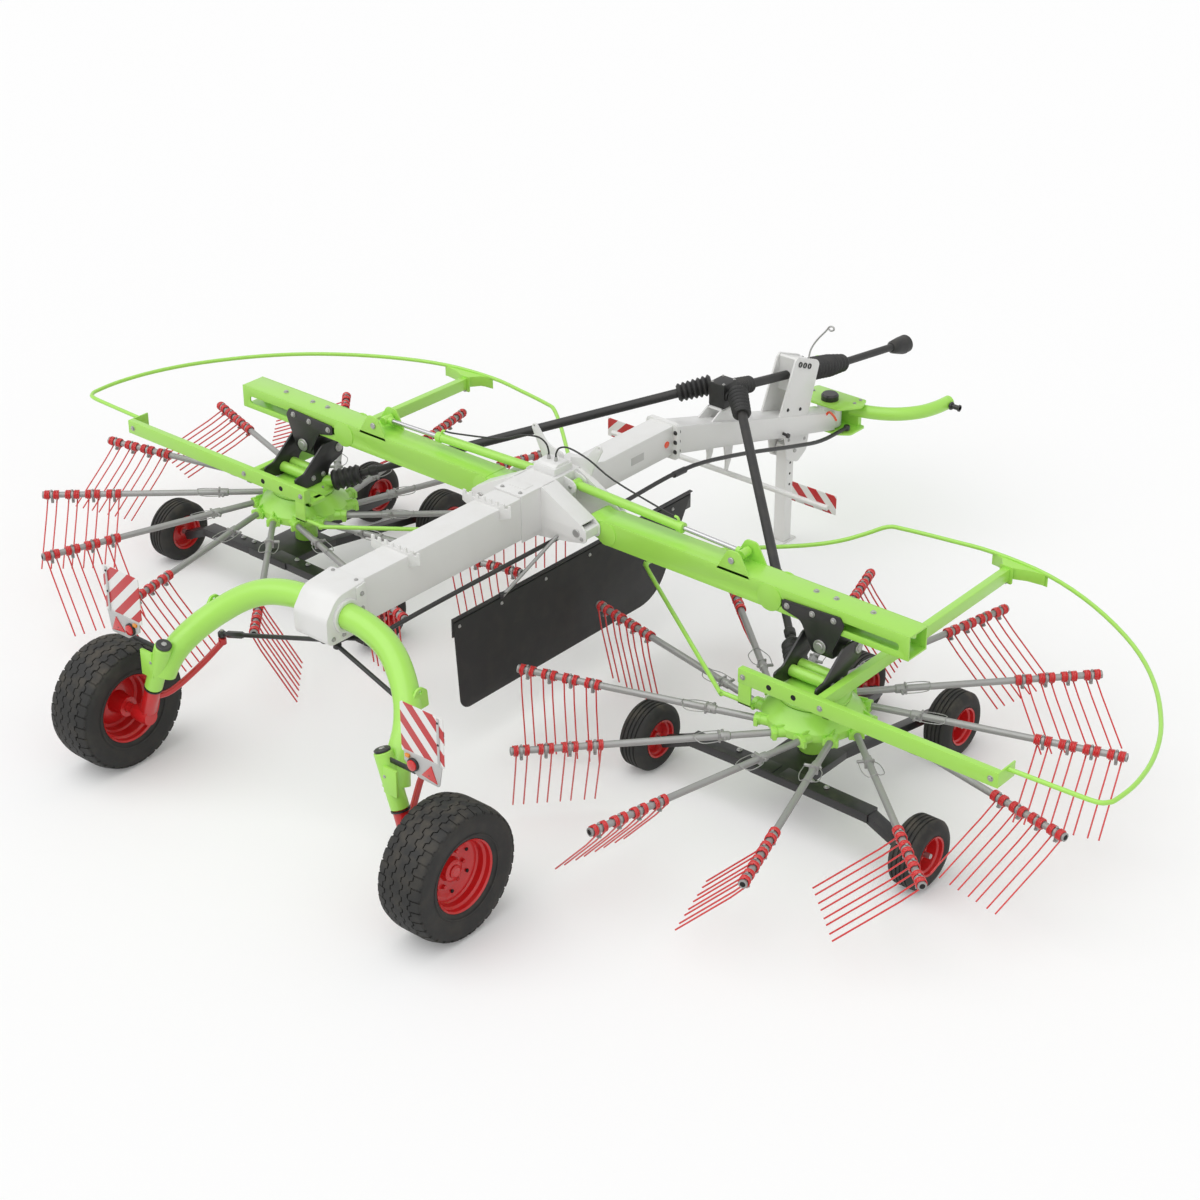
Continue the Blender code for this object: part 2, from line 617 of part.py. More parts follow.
def build_fold_cylinder(side, s):
    """Barrel on the pivot block's lugs, and the rod whose eye sits on the boom's pin."""
    base = Vector((s * CYL_BASE_X, CYL_Y, CYL_BASE_Z))
    eye = Vector((s * CYL_EYE_X, CYL_Y, CYL_Z))
    line = (eye - base).normalized()
    across = Vector((0, 0.034, 0))
    barrel = [bar(base + line * 0.018, base + line * 0.80, BARREL_R, 12),
              bar(base + line * 0.775, base + line * 0.815, BARREL_R + 0.004, 12),
              bar(base - across, base + across, 0.030, 14)]
    port = base + line * 0.775 + Vector((0, 0, BARREL_R - 0.004))
    barrel.append(bar(port, port + Vector((0, 0, 0.028)), 0.009, 8))
    cuts = [bar(base - across * 2, base + across * 2, bore_radius(0.0125, 12), 12),
            bar(base + line * 0.06, base + line * 0.9, ROD_R + GAP, 12)]
    part(f"fold_cylinder_{side}", "lime_green", barrel, tuple(base), cuts)
    spacer = Vector((0, 0.038, 0))
    rod = [bar(base + line * 0.45, eye - line * 0.02, ROD_R, 12),
           bar(eye - spacer, eye + spacer, 0.027, 14)]
    part(f"fold_rod_{side}", "steel", rod, tuple(base))


CRADLE_Y, CRADLE_Z = 2.416, 0.962      # pitch pins of the rotor's cradle
ROLL_PIN_Z = 0.992
CRADLE_HALF = 0.147
SHAFT_BOLTS = ((2.178, 0.812), (2.265, 0.812))   # (y, z) of the cradle's lower cross tubes


def build_hanger(side, s):
    """Slotted plates bolted to the boom, with the roll pin and the block it carries."""
    plates = []
    outline = rounded([(s * 1.770, 1.140, 0), (s * 1.770, 1.180, 0), (s * 2.15, 1.205, 0),
                       (s * 2.19, 1.165, 0), (s * 2.105, 0.955, 0.035), (s * 1.985, 0.955, 0.035),
                       (s * 1.90, 1.110, 0)], steps=1)
    for y in (BOOM_Y0 - 0.006 - GAP, BOOM_Y1 + 0.006 + GAP):
        plates.append(plate(outline, 0.012, "y", y))
    plates.append(bar((s * 2.041, BOOM_Y0 - 0.034, ROLL_PIN_Z), (s * 2.041, BOOM_Y1 + 0.03, ROLL_PIN_Z),
                      0.026, 12))
    # block on the roll pin, with the pitch pin through it
    plates.append(block((s * 1.965, s * 2.117), (BOOM_Y0 + 0.004, BOOM_Y1 - 0.004), (0.925, 1.045)))
    reach = CRADLE_HALF + 0.014
    plates.append(bar((s * ROTOR_X - reach, CRADLE_Y, CRADLE_Z), (s * ROTOR_X + reach, CRADLE_Y, CRADLE_Z),
                      0.020, 12))
    part(f"hanger_{side}", "black_paint", plates)


def build_cradle(side, s):
    """Two curved plates from the pitch pins down to the rotor's gearbox."""
    outline = [(2.02, 0.868), (2.03, 0.79), (2.13, 0.772 + GAP), (2.30, 0.772 + GAP),
               (2.305, 0.85), (2.43, 0.90), (2.465, 0.95), (2.455, 0.995), (2.40, 1.022),
               (2.28, 1.025), (2.17, 0.945), (2.105, 0.875)]
    pieces = []
    for sign in (-1, 1):
        place = s * ROTOR_X + sign * (CRADLE_HALF - 0.007)
        pieces.append(plate(outline, 0.014, "x", place))
    for y, z in SHAFT_BOLTS:
        pieces.append(bar((s * ROTOR_X - CRADLE_HALF - 0.012, y, z + 0.012),
                          (s * ROTOR_X + CRADLE_HALF + 0.012, y, z + 0.012), 0.0345, 10))
    cuts = [bar((s * ROTOR_X - 0.3, CRADLE_Y, CRADLE_Z), (s * ROTOR_X + 0.3, CRADLE_Y, CRADLE_Z),
                0.020 + GAP, 12), neck(s, 0.028)]
    part(f"cradle_{side}", "black_paint", pieces, cuts=cuts)


# ---------------------------------------------------------------- rotors
def build_rotor_head(side, s):
    """Fixed drum with the drive inlet, lugs for the guard, and the mast below it."""
    x, y = s * ROTOR_X, ROTOR_Y
    pieces = [bar((x, y, DRUM_Z0), (x, y, DRUM_Z1), DRUM_R, 24),
              bar((x, y, 0.34), (x, y, DRUM_Z0 + 0.01), MAST_R, 24)]
    low = Vector(at_side(s, SHAFT_LOW))
    inward = (shaft_point(s, SHAFT_LENGTH - 0.10) - low).normalized()
    pieces.append(neck(s, 0.024))
    pieces.append(bar(low - inward * 0.006, low + inward * 0.185, 0.072, 16, 0.066))
    # lugs that reach back to the guard's rear bar
    for inner, outer in ((1.722, 1.782), (2.262, 2.304)):
        pieces.append(block((s * inner, s * outer), (BAR_Y1 + GAP, 2.12), (0.745, 0.768)))
        pieces.append(block((s * inner, s * outer), (BAR_Y1 + GAP, BAR_Y1 + 0.012), (0.745, 0.86)))
    pieces.append(block((s * 1.75, s * 2.30), (2.06, 2.12), (0.745, 0.768)))
    mouth = [bar(low + inward * 0.012, low + inward * 0.25, 0.060, 16)]
    part(f"rotor_head_{side}", "lime_green", pieces, (x, y, DRUM_Z0), mouth)


def neck(s, radius):
    """The drive inlet's neck, from the drum to the lower end of the drive shaft."""
    return bar((s * (ROTOR_X - 0.05), ROTOR_Y + 0.02, 0.738), at_side(s, SHAFT_LOW), radius, 12)


TINE_SWING = (-70, -63, -56, -54, -42, -38, -24, -2, -9, -20, -31, -54)   # degrees, arm by arm
TINE_PLACES = (0.032, 0.0925, 0.169, 0.226, 0.300, 0.360, 0.437, 0.4975)  # from the arm's tip


def arm_frame(s, index):
    """Tip, sleeve end, outward direction and the direction of turning of one arm."""
    angle = FIRST_ARM - 2 * math.pi * index / ARM_COUNT
    lead = angle + ARM_SKEW
    tip = Vector((ROTOR_X + ARM_TIP_R * math.cos(angle), ROTOR_Y + ARM_TIP_R * math.sin(angle), ARM_Z))
    sleeve = Vector((ROTOR_X + SLEEVE_TIP_R * math.cos(lead),
                     ROTOR_Y + SLEEVE_TIP_R * math.sin(lead), ARM_Z))
    outward = (tip - sleeve).normalized()
    turning = Vector((0, 0, 1)).cross(outward)
    mirror = Matrix.Diagonal((s, 1, 1))
    return mirror @ tip, mirror @ sleeve, mirror @ outward, mirror @ turning


def build_rotor(side, s):
    """Dish with its sleeves, the tine arms, and the bent double tines, as one body."""
    x, y = s * ROTOR_X, ROTOR_Y
    bore = bore_radius(MAST_R, 24)
    dish = turned([(bore, 0.545), (0.285, 0.545), (0.300, 0.605), (0.275, 0.645),
                   (0.20, 0.694), (bore, 0.694)], (x, y, 0), (0, 0, 1), 24)
    pieces = [dish]
    for index in range(ARM_COUNT):
        tip, sleeve, outward, turning = arm_frame(s, index)
        pieces.append(bar(sleeve - outward * 0.12, tip, ARM_R, 6))
        swing = math.radians(TINE_SWING[index])
        for place in TINE_PLACES:
            pieces.append(tine(tip - outward * place, turning, swing))
    part(f"rotor_{side}", "red", pieces, (x, y, ARM_Z))


def tine(root, turning, swing):
    """One bent spring tine, hanging from its arm and swung by the given angle."""
    down = Vector((0, 0, -1))
    points, here = [root + Vector((0, 0, 0.007))], root
    for length, lean in ((TINE_SHORT_LEG, swing + TINE_KNEE * 0.72), (TINE_LONG_LEG, swing - TINE_KNEE * 0.28)):
        here = here + length * (math.sin(lean) * turning + math.cos(lean) * down)
        points.append(here)
    return tube([tuple(point) for point in points], TINE_R, sides=3)


WHEEL_PLACES = (("front_outer", 0.335, 0.94), ("front_inner", -0.335, 0.94),
                ("rear_outer", 0.93, -0.30), ("rear_inner", -0.93, -0.30))


def build_chassis(side, s):
    """The rotor's carriage: cross bar, front legs and the stub axles of four wheels."""
    x, y = s * ROTOR_X, ROTOR_Y
    pieces = [bar((x, y, 0.24), (x, y, 0.34 - GAP), 0.085, 20)]
    pieces.append(block((x - 0.17, x + 0.17), (y - 0.36, y + 0.10), (0.29, 0.338)))
    for name, dx, dy in WHEEL_PLACES:
        outer = 1 if dx > 0 else -1
        hub = Vector((x + s * dx, y + dy, SMALL_R))
        inner_face = hub - Vector((s * outer * (SMALL_W / 2 + 0.008), 0, 0))
        elbow = inner_face + Vector((-s * outer * 0.035, 0, 0.0))
        if "rear" in name:
            knee = Vector((x + s * outer * 0.62, y + dy, 0.305))
            pieces.append(beam_between((x + s * outer * 0.10, y + dy, 0.315), knee, 0.10, 0.05))
            pieces.append(beam_between(knee - Vector((s * outer * 0.02, 0, 0)),
                                       elbow + Vector((s * outer * 0.02, 0, 0)), 0.08, 0.05))
        else:
            pieces.append(beam_between((x + s * outer * 0.10, y + 0.0, 0.30),
                                       elbow + Vector((0, 0.03, 0)), 0.06, 0.05))
        pieces.append(bar(elbow, hub + Vector((s * outer * (SMALL_W / 2 - 0.012), 0, 0)), 0.016, 12))
    part(f"chassis_{side}", "black_paint", pieces, (x, y, 0.30))


def build_rotor_wheel(side, s, name, dx, dy):
    centre = (s * (ROTOR_X + dx), ROTOR_Y + dy, SMALL_R)
    half = SMALL_W / 2
    bore = bore_radius(0.016, 12)
    profile = [(bore, -0.05), (0.090, -0.03), (0.112, -0.083), (0.150, -half), (SMALL_R, -0.060),
               (SMALL_R, 0.060), (0.150, half), (0.112, 0.083), (0.090, 0.03), (bore, 0.03)]
    body = turned(profile, centre, (s if dx > 0 else -s, 0, 0), 12)
    part(f"rotor_wheel_{name}_{side}", "rubber", [body], centre)


# ---------------------------------------------------------------- guards
def build_guard(side, s):
    """Rear bar, front arm, outer bow, and the inner strut that closes the loop."""
    pieces = [block((s * 1.717, s * 3.40), (BAR_Y0, BAR_Y1), (BAR_Z0, BAR_Z1))]
    pieces.append(block((s * 3.392, s * 3.402), (BAR_Y0, 2.098), (BAR_Z0, BAR_Z1)))
    # front arm, a box tube that runs forward beside the drum
    pieces.append(beam_between((s * 2.232, BAR_Y1 - 0.01, 0.8145), (s * 2.200, 3.94, 0.810), 0.05, 0.08))
    pieces.append(plate(rounded([(s * 2.155, 0.75, 0.01), (s * 2.245, 0.75, 0.01), (s * 2.245, 0.866, 0.01),
                                 (s * 2.155, 0.866, 0.01)]), 0.010, "y", 3.943))
    bracket = [(s * 2.175, 3.945), (s * 2.225, 3.945), (s * 2.32, 3.985), (s * 2.43, 4.000),
               (s * 2.43, 4.012), (s * 2.24, 4.048), (s * 2.04, 4.060), (s * 2.04, 4.050),
               (s * 2.12, 4.02)]
    pieces.append(plate(bracket, 0.075, "z", 0.820))
    pieces.append(beam_between((s * 2.035, 4.052, 0.820), (s * 2.445, 4.010, 0.820), 0.006, 0.09))
    bow = [(3.398, 2.030), (3.72, 2.040), (3.90, 2.050), (3.955, 2.085), (3.975, 2.15), (3.975, 2.35),
           (3.92, 2.62), (3.79, 2.93), (3.55, 3.29), (3.25, 3.59), (2.85, 3.85), (2.445, 4.010),
           (2.04, 4.052), (1.74, 4.015), (1.46, 3.965), (1.36, 3.925)]
    drop = [(1.25, 3.86, 0.80), (1.12, 3.76, 0.745), (0.95, 3.61, 0.715), (0.64, 3.33, 0.70),
            (0.43, 3.08, 0.695), (0.335, 2.90, 0.69), (0.34, 2.83, 0.689), (0.42, 2.76, 0.688),
            (1.50, 2.005, 0.665), (1.585, 1.955, 0.662), (1.66, 1.9525, 0.662), (1.75, 1.9525, 0.662)]
    route = [(s * x, y, GUARD_Z) for x, y in bow] + [at_side(s, point) for point in drop]
    pieces.append(tube(route, GUARD_R, sides=6))
    pieces.append(block((s * 1.722, s * 1.808), (BAR_Y0 + 0.002, BAR_Y0 + 0.012), (0.652, BAR_Z0 + 0.02)))
    pieces.append(block((s * 1.722, s * 1.808), (BAR_Y0 + 0.002, BAR_Y1), (0.652, 0.664)))
    part(f"guard_{side}", "lime_green", pieces)


# ---------------------------------------------------------------- rear wheels and steering
def build_knuckle(side, s):
    """Kingpin, leg, stub axle and steering arm of a rear wheel."""
    top, foot = at_side(s, on_kingpin(-0.06)), at_side(s, KING_FOOT)
    leg_end = at_side(s, on_kingpin(1.62))
    pieces = [bar(top, at_side(s, on_kingpin(1.1)), KING_R, 14),
              bar(at_side(s, on_kingpin(1.006)), leg_end, 0.050, 12),
              bar((s * 1.01, 0.0, TYRE_R), (s * 1.15, 0.0, TYRE_R), 0.045, 12),
              bar((s * 1.14, 0.0, TYRE_R), (s * 1.345, 0.0, TYRE_R), 0.030, 14)]
    pieces.append(bar(at_side(s, on_kingpin(-0.055)), at_side(s, on_kingpin(-0.012)), 0.046, 12))
    arm = smooth_route([at_side(s, point) for point in
                        ((1.00, 0.02, 0.520), (0.95, 0.12, 0.535), (0.88, 0.28, 0.65), (0.855, 0.443, 0.748))], 1)
    pieces.append(tube(arm, 0.020, 1))
    pieces.append(bar((s * 0.855, 0.443, 0.735), (s * 0.855, 0.443, 0.7775), 0.024, 10))
    return part(f"knuckle_{side}", "red", pieces, foot)


def build_rear_wheel(side, s):
    centre = (s * TRACK / 2, 0.0, TYRE_R)
    half = TYRE_W / 2
    inside = RIM_R - 0.010
    tyre = [(inside + GAP, -0.128), (0.240, -0.140), (0.300, -half), (0.355, -0.138),
            (TYRE_R, -0.10), (TYRE_R, 0.10), (0.355, 0.138), (0.300, half), (0.240, 0.140),
            (inside + GAP, 0.128)]
    part(f"tyre_{side}", "rubber", [turned(tyre, centre, (s, 0, 0), 24)], centre)
    bore = bore_radius(0.030, 24)
    rim = [(bore, -0.10), (0.062, -0.10), (0.066, 0.005), (0.150, 0.045), (0.196, -0.128),
           (inside, -0.130), (inside, 0.130), (0.196, 0.128), (0.150, 0.062), (0.066, 0.030),
           (0.062, 0.055), (bore, 0.055)]
    part(f"rim_{side}", "red", [turned(rim, centre, (s, 0, 0), 24)], centre)


BALL = (0.855, 0.443, 0.80)       # outer end of a tie rod
CRANK_Y, CRANK_Z = 0.62, 1.066
TIE_X, TIE_Y, TIE_Z = 0.05, 0.49, 1.035
TIE_SWING_Z = 2.90                # a tie rod rocks about a far centre at this height
STEER_X = 0.15                    # side of the beam along which the steering rod runs


def build_tie_rods():
    for side, s in SIDES:
        inner, outer = (s * TIE_X, TIE_Y, TIE_Z), at_side(s, BALL)
        pieces = [bar(inner, outer, 0.014, 8),
                  bar((outer[0], outer[1], BALL[2] - 0.0175), (outer[0], outer[1], BALL[2] + 0.02), 0.024, 10),
                  bar((inner[0], inner[1], TIE_Z - 0.018), (inner[0], inner[1], TIE_Z + 0.018), 0.024, 10)]
        part(f"tie_rod_{side}", "black_paint", pieces, (s * TIE_X, TIE_Y, TIE_SWING_Z))
    crank = [(-0.075, 0.462), (0.075, 0.462), (0.080, 0.53), (0.178, 0.598), (0.178, 0.645),
             (0.035, 0.66), (-0.035, 0.66), (-0.080, 0.53)]
    pieces = [plate(crank, 0.012, "z", CRANK_Z), bar((0, CRANK_Y, 1.060), (0, CRANK_Y, 1.0995), 0.028, 14)]
    part("bellcrank", "black_paint", pieces, (0, CRANK_Y, CRANK_Z))


def build_steering_rod():
    ball_z = CRANK_Z - 0.011 - 0.018
    route = [(STEER_X, CRANK_Y, ball_z), (STEER_X, 1.2, 1.050), (STEER_X, 2.65, 1.050),
             (STEER_X, 3.40, 1.060), (STEER_X, 3.95, 0.965), (STEER_X, 4.60, 0.795),
             (STEER_X, 4.92, 0.722), (STEER_X, YOKE_Y, 0.714)]
    pieces = [tube(route, 0.014, sides=6),
              bar((STEER_X, CRANK_Y, ball_z - 0.016), (STEER_X, CRANK_Y, ball_z + 0.018), 0.022, 10),
              bar((STEER_X, YOKE_Y, 0.695), (STEER_X, YOKE_Y, 0.732), 0.022, 10)]
    part("steering_rod", "black_paint", pieces, (STEER_X, CRANK_Y, ball_z))


def build_hitch_yoke():
    """The steered hitch: two plates on the pivot pin, a web, and two curved arms."""
    upper = [(-0.14, 5.12), (0.14, 5.12), (0.235, 5.25), (0.24, 5.29), (0.20, 5.37), (-0.20, 5.37),
             (-0.24, 5.29), (-0.235, 5.25)]
    lower = [(-0.12, 5.14), (0.12, 5.14), (0.185, 5.18), (0.20, 5.22), (0.20, 5.37), (-0.20, 5.37),
             (-0.20, 5.22), (-0.185, 5.18)]
    pieces = [plate(upper, 0.016, "z", YOKE_Z1 + 0.008), plate(lower, 0.016, "z", YOKE_Z0 - 0.008)]
    pieces.append(block((-0.17, 0.17), (5.325, 5.365), (YOKE_Z0 - 0.01, YOKE_Z1 + 0.01)))
    pieces.append(bar((0, YOKE_Y, 0.655), (0, YOKE_Y, YOKE_Z1 + 0.02), YOKE_PIN_R, 16))
    pieces.append(bar((0, YOKE_Y, YOKE_Z1 + 0.01), (0, YOKE_Y, YOKE_Z1 + 0.062), 0.060, 12))
    for _, s in SIDES:
        arm = smooth_route([at_side(s, point) for point in
                            ((0.10, 5.335, 0.80), (0.25, 5.375, 0.80), (0.39, 5.46, 0.80), (0.49, 5.59, 0.80),
                             (0.535, 5.73, 0.80), (0.548, 5.86, 0.80))], 1)
        pieces.append(tube(arm, 0.046, sides=8))
        pieces.append(bar((s * 0.52, 5.815, 0.80), (s * 0.66, 5.815, 0.80), 0.018, 16))
        pieces.append(bar((s * 0.655, 5.815, 0.80), (s * 0.668, 5.815, 0.80), 0.024, 12))
    return part("hitch_yoke", "lime_green", pieces, (0, YOKE_Y, 0.78))


def build_jack_leg():
    """Parking leg: a box post on the cheek plates' pin, with its foot plate."""
    pivot_z = JACK_PIVOT_Z - 0.035
    pieces = [block((-0.045, 0.045), (JACK_Y - 0.04, JACK_Y + 0.04), (0.012, pivot_z + 0.035)),
              block((-0.055, 0.055), (JACK_Y - 0.09, JACK_Y + 0.09), (0.0, 0.016)),
              bar((-0.058, JACK_Y, pivot_z), (0.058, JACK_Y, pivot_z), 0.032, 16)]
    cuts = [bar((-0.2, JACK_Y, pivot_z), (0.2, JACK_Y, pivot_z), bore_radius(0.014, 16), 16)]
    part("jack_leg", "light_grey", pieces, (0, JACK_Y, pivot_z), cuts)


# ---------------------------------------------------------------- boards and curtain
def build_rear_board(side, s):
    """Striped marker board over a lamp plate, on a bracket from the axle sleeve."""
    pieces = [block((s * 1.01, s * 1.31), (0.000, 0.006), (0.985, 1.280)),
              block((s * 1.03, s * 1.30), (-0.004, 0.004), (0.860, 1.000)),
              bar((s * 1.10, -0.030, 0.925), (s * 1.10, 0.0, 0.925), 0.038, 16),
              block((s * 0.880, s * 1.10), (0.003, 0.012), (0.87, 0.90))]
    cuts = [bar(at_side(s, on_kingpin(-0.1)), at_side(s, on_kingpin(1.1)), 0.052 + GAP, 20)]
    part(f"rear_board_{side}", "light_grey", pieces, cuts=cuts)


CURTAIN_X = 0.20


def build_swath_curtain():
    """Rubber sheet on its rail, held by two struts from the pivot block and the beam."""
    sheet = rounded([(1.255, 0.90, 0), (1.305, 0.30, 0.04), (3.10, 0.30, 0.26), (3.43, 0.90, 0)], steps=5)
    pieces = [plate(sheet, 0.010, "x", CURTAIN_X)]
    rail = [(1.25, 0.80), (3.44, 0.80), (3.44, 0.925), (1.25, 0.925)]
    pieces.append(plate(rail, 0.018, "x", CURTAIN_X - 0.003))
    for foot_y, head in ((1.66, (0.235, 2.20, 1.17)), (2.85, (0.235, 2.42, 1.17))):
        pieces.append(bar((CURTAIN_X, foot_y, 0.90), head, 0.011, 8))
    cuts = [block((0.0, 0.5), (WING_REAR[0] - GAP, WING_FRONT[1] + GAP), (0.95, 1.3))]
    part("swath_curtain", "rubber", pieces, cuts=cuts)


# ---------------------------------------------------------------- assembly
def build():
    build_main_beam()
    build_arch_clamp()
    build_axle_arch()
    build_pivot_block()
    build_drawbar()
    build_front_board_bar()
    build_drive_gearbox()
    build_input_shaft()
    build_tie_rods()
    build_steering_rod()
    build_hitch_yoke()
    build_jack_leg()
    build_swath_curtain()
    for side, s in SIDES:
        build_boom(side, s)
        build_fold_cylinder(side, s)
        build_hanger(side, s)
        build_cradle(side, s)
        build_rotor_head(side, s)
        build_rotor(side, s)
        build_chassis(side, s)
        build_guard(side, s)
        build_drive_shaft(side, s)
        build_knuckle(side, s)
        build_rear_wheel(side, s)
        build_rear_board(side, s)
        for name, dx, dy in WHEEL_PLACES:
            build_rotor_wheel(side, s, name, dx, dy)
    for leftover in (CUTTERS,):
        leftover.hide_render = True


build()
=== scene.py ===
"""Looks, light and camera of the twin rotor hay rake.

Lengths are metres.  Places along Y are measured from the rear axle, towards the hitch,
and Former.piece moves them to the row frame, whose origin is the middle of the outline.
"""
import logging
import math
from dataclasses import dataclass, field
from enum import Enum
from typing import Callable, Iterable, Sequence

import bmesh
import bpy
from mathutils import Matrix, Vector


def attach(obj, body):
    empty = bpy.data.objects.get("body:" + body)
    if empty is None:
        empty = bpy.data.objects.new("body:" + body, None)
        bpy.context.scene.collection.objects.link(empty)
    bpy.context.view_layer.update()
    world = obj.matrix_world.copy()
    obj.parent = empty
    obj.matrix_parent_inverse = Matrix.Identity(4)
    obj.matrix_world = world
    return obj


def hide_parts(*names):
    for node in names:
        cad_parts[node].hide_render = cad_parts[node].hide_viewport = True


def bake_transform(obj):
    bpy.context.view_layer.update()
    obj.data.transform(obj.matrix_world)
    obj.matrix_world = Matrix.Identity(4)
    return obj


LOG = logging.getLogger("hay_rake")
Point = tuple[float, float, float]
SIDES: tuple[tuple[str, float], ...] = (("right", 1.0), ("left", -1.0))
AXLE_TO_ROW = -2.87375            # shift along Y from the rear axle to the row frame
FAR_SIDES = 24


# ---------------------------------------------------------------- finishes
class Finish(Enum):
    """The finishes of the rake; each value is its material's name."""

    LIME = "lime_enamel"
    PALE = "pale_grey_enamel"
    RED = "red_enamel"
    SPRING = "red_spring_coat"
    ZINC = "hot_dip_zinc"
    BOLT = "plated_bolt"
    CHROME = "ground_chrome"
    BLACK = "black_enamel"
    PLASTIC = "black_guard_plastic"
    RUBBER = "tyre_rubber"
    SHEET = "curtain_rubber"
    HOSE = "hose_rubber"
    STRIPE = "hazard_stripe"
    LAMP = "red_lamp"
    AMBER = "amber_lamp"
    ORANGE = "orange_reflector"
    LEVER = "orange_lever"
    PLATE = "blank_plate"
    # Near-black painted shade, put on holes and open tube ends where there is only shade.
    DARK = "dark_hollow"


@dataclass(frozen=True)
class Look:
    """What a finish shows: its colour, gloss, mottling, dust and grain."""

    colour: tuple[float, float, float]
    roughness: float = 0.4
    metallic: float = 0.0
    mottle: float = 0.08
    dust: float = 0.12
    grain: float = 0.12
    grain_scale: float = 240.0
    coat: float = 0.0
    glow: float = 0.0


LOOKS: dict[Finish, Look] = {
    Finish.LIME: Look((0.375, 0.745, 0.098), 0.36, coat=0.35, mottle=0.06, dust=0.05),
    Finish.PALE: Look((0.760, 0.760, 0.745), 0.40, coat=0.25, mottle=0.05, dust=0.06),
    Finish.RED: Look((0.560, 0.012, 0.014), 0.34, coat=0.35, dust=0.05),
    Finish.SPRING: Look((0.610, 0.014, 0.016), 0.30, coat=0.4, mottle=0.10, dust=0.03),
    Finish.ZINC: Look((0.330, 0.330, 0.322), 0.46, 0.55, mottle=0.22, dust=0.10, grain=0.10,
                      grain_scale=120.0),
    Finish.BOLT: Look((0.430, 0.430, 0.420), 0.38, 0.75, mottle=0.12, dust=0.08),
    Finish.CHROME: Look((0.480, 0.480, 0.490), 0.22, 0.85, mottle=0.05, dust=0.03, grain=0.05),
    Finish.BLACK: Look((0.017, 0.017, 0.018), 0.42, coat=0.15, mottle=0.12, dust=0.05),
    Finish.PLASTIC: Look((0.016, 0.016, 0.016), 0.52, mottle=0.15, dust=0.05, grain=0.25),
    Finish.RUBBER: Look((0.017, 0.017, 0.016), 0.72, mottle=0.25, dust=0.16, grain=0.35),
    Finish.SHEET: Look((0.013, 0.013, 0.013), 0.60, mottle=0.20, dust=0.08, grain=0.45),
    Finish.HOSE: Look((0.012, 0.012, 0.012), 0.45, mottle=0.10, dust=0.03, grain=0.20),
    Finish.STRIPE: Look((0.780, 0.780, 0.760), 0.35, coat=0.3, dust=0.04),
    Finish.LAMP: Look((0.600, 0.008, 0.008), 0.12, coat=0.8, mottle=0.05, dust=0.02),
    Finish.AMBER: Look((0.750, 0.260, 0.010), 0.15, coat=0.8, mottle=0.05, dust=0.02),
    Finish.ORANGE: Look((0.800, 0.060, 0.005), 0.20, coat=0.6, mottle=0.04, dust=0.02),
    Finish.LEVER: Look((0.760, 0.070, 0.008), 0.35, mottle=0.08),
    Finish.PLATE: Look((0.520, 0.520, 0.510), 0.45, mottle=0.06),
    # Painted hole shade: near black, for the shade inside holes and open ends.
    Finish.DARK: Look((0.006, 0.006, 0.006), 0.85, mottle=0.05, dust=0.02),
}


def node_socket(tree: bpy.types.NodeTree, name: str, kind: str, into: bool = True,
                value: object = None) -> None:
    """Add a named socket to a tree's interface.

    Args:
        tree: The shader or geometry tree.
        name: The socket's name.
        kind: Its type, such as NodeSocketFloat.
        into: True for an input, False for an output.
        value: The input's default, if it has one.
    """
    made = tree.interface.new_socket(name, in_out="INPUT" if into else "OUTPUT", socket_type=kind)
    if value is not None:
        made.default_value = value


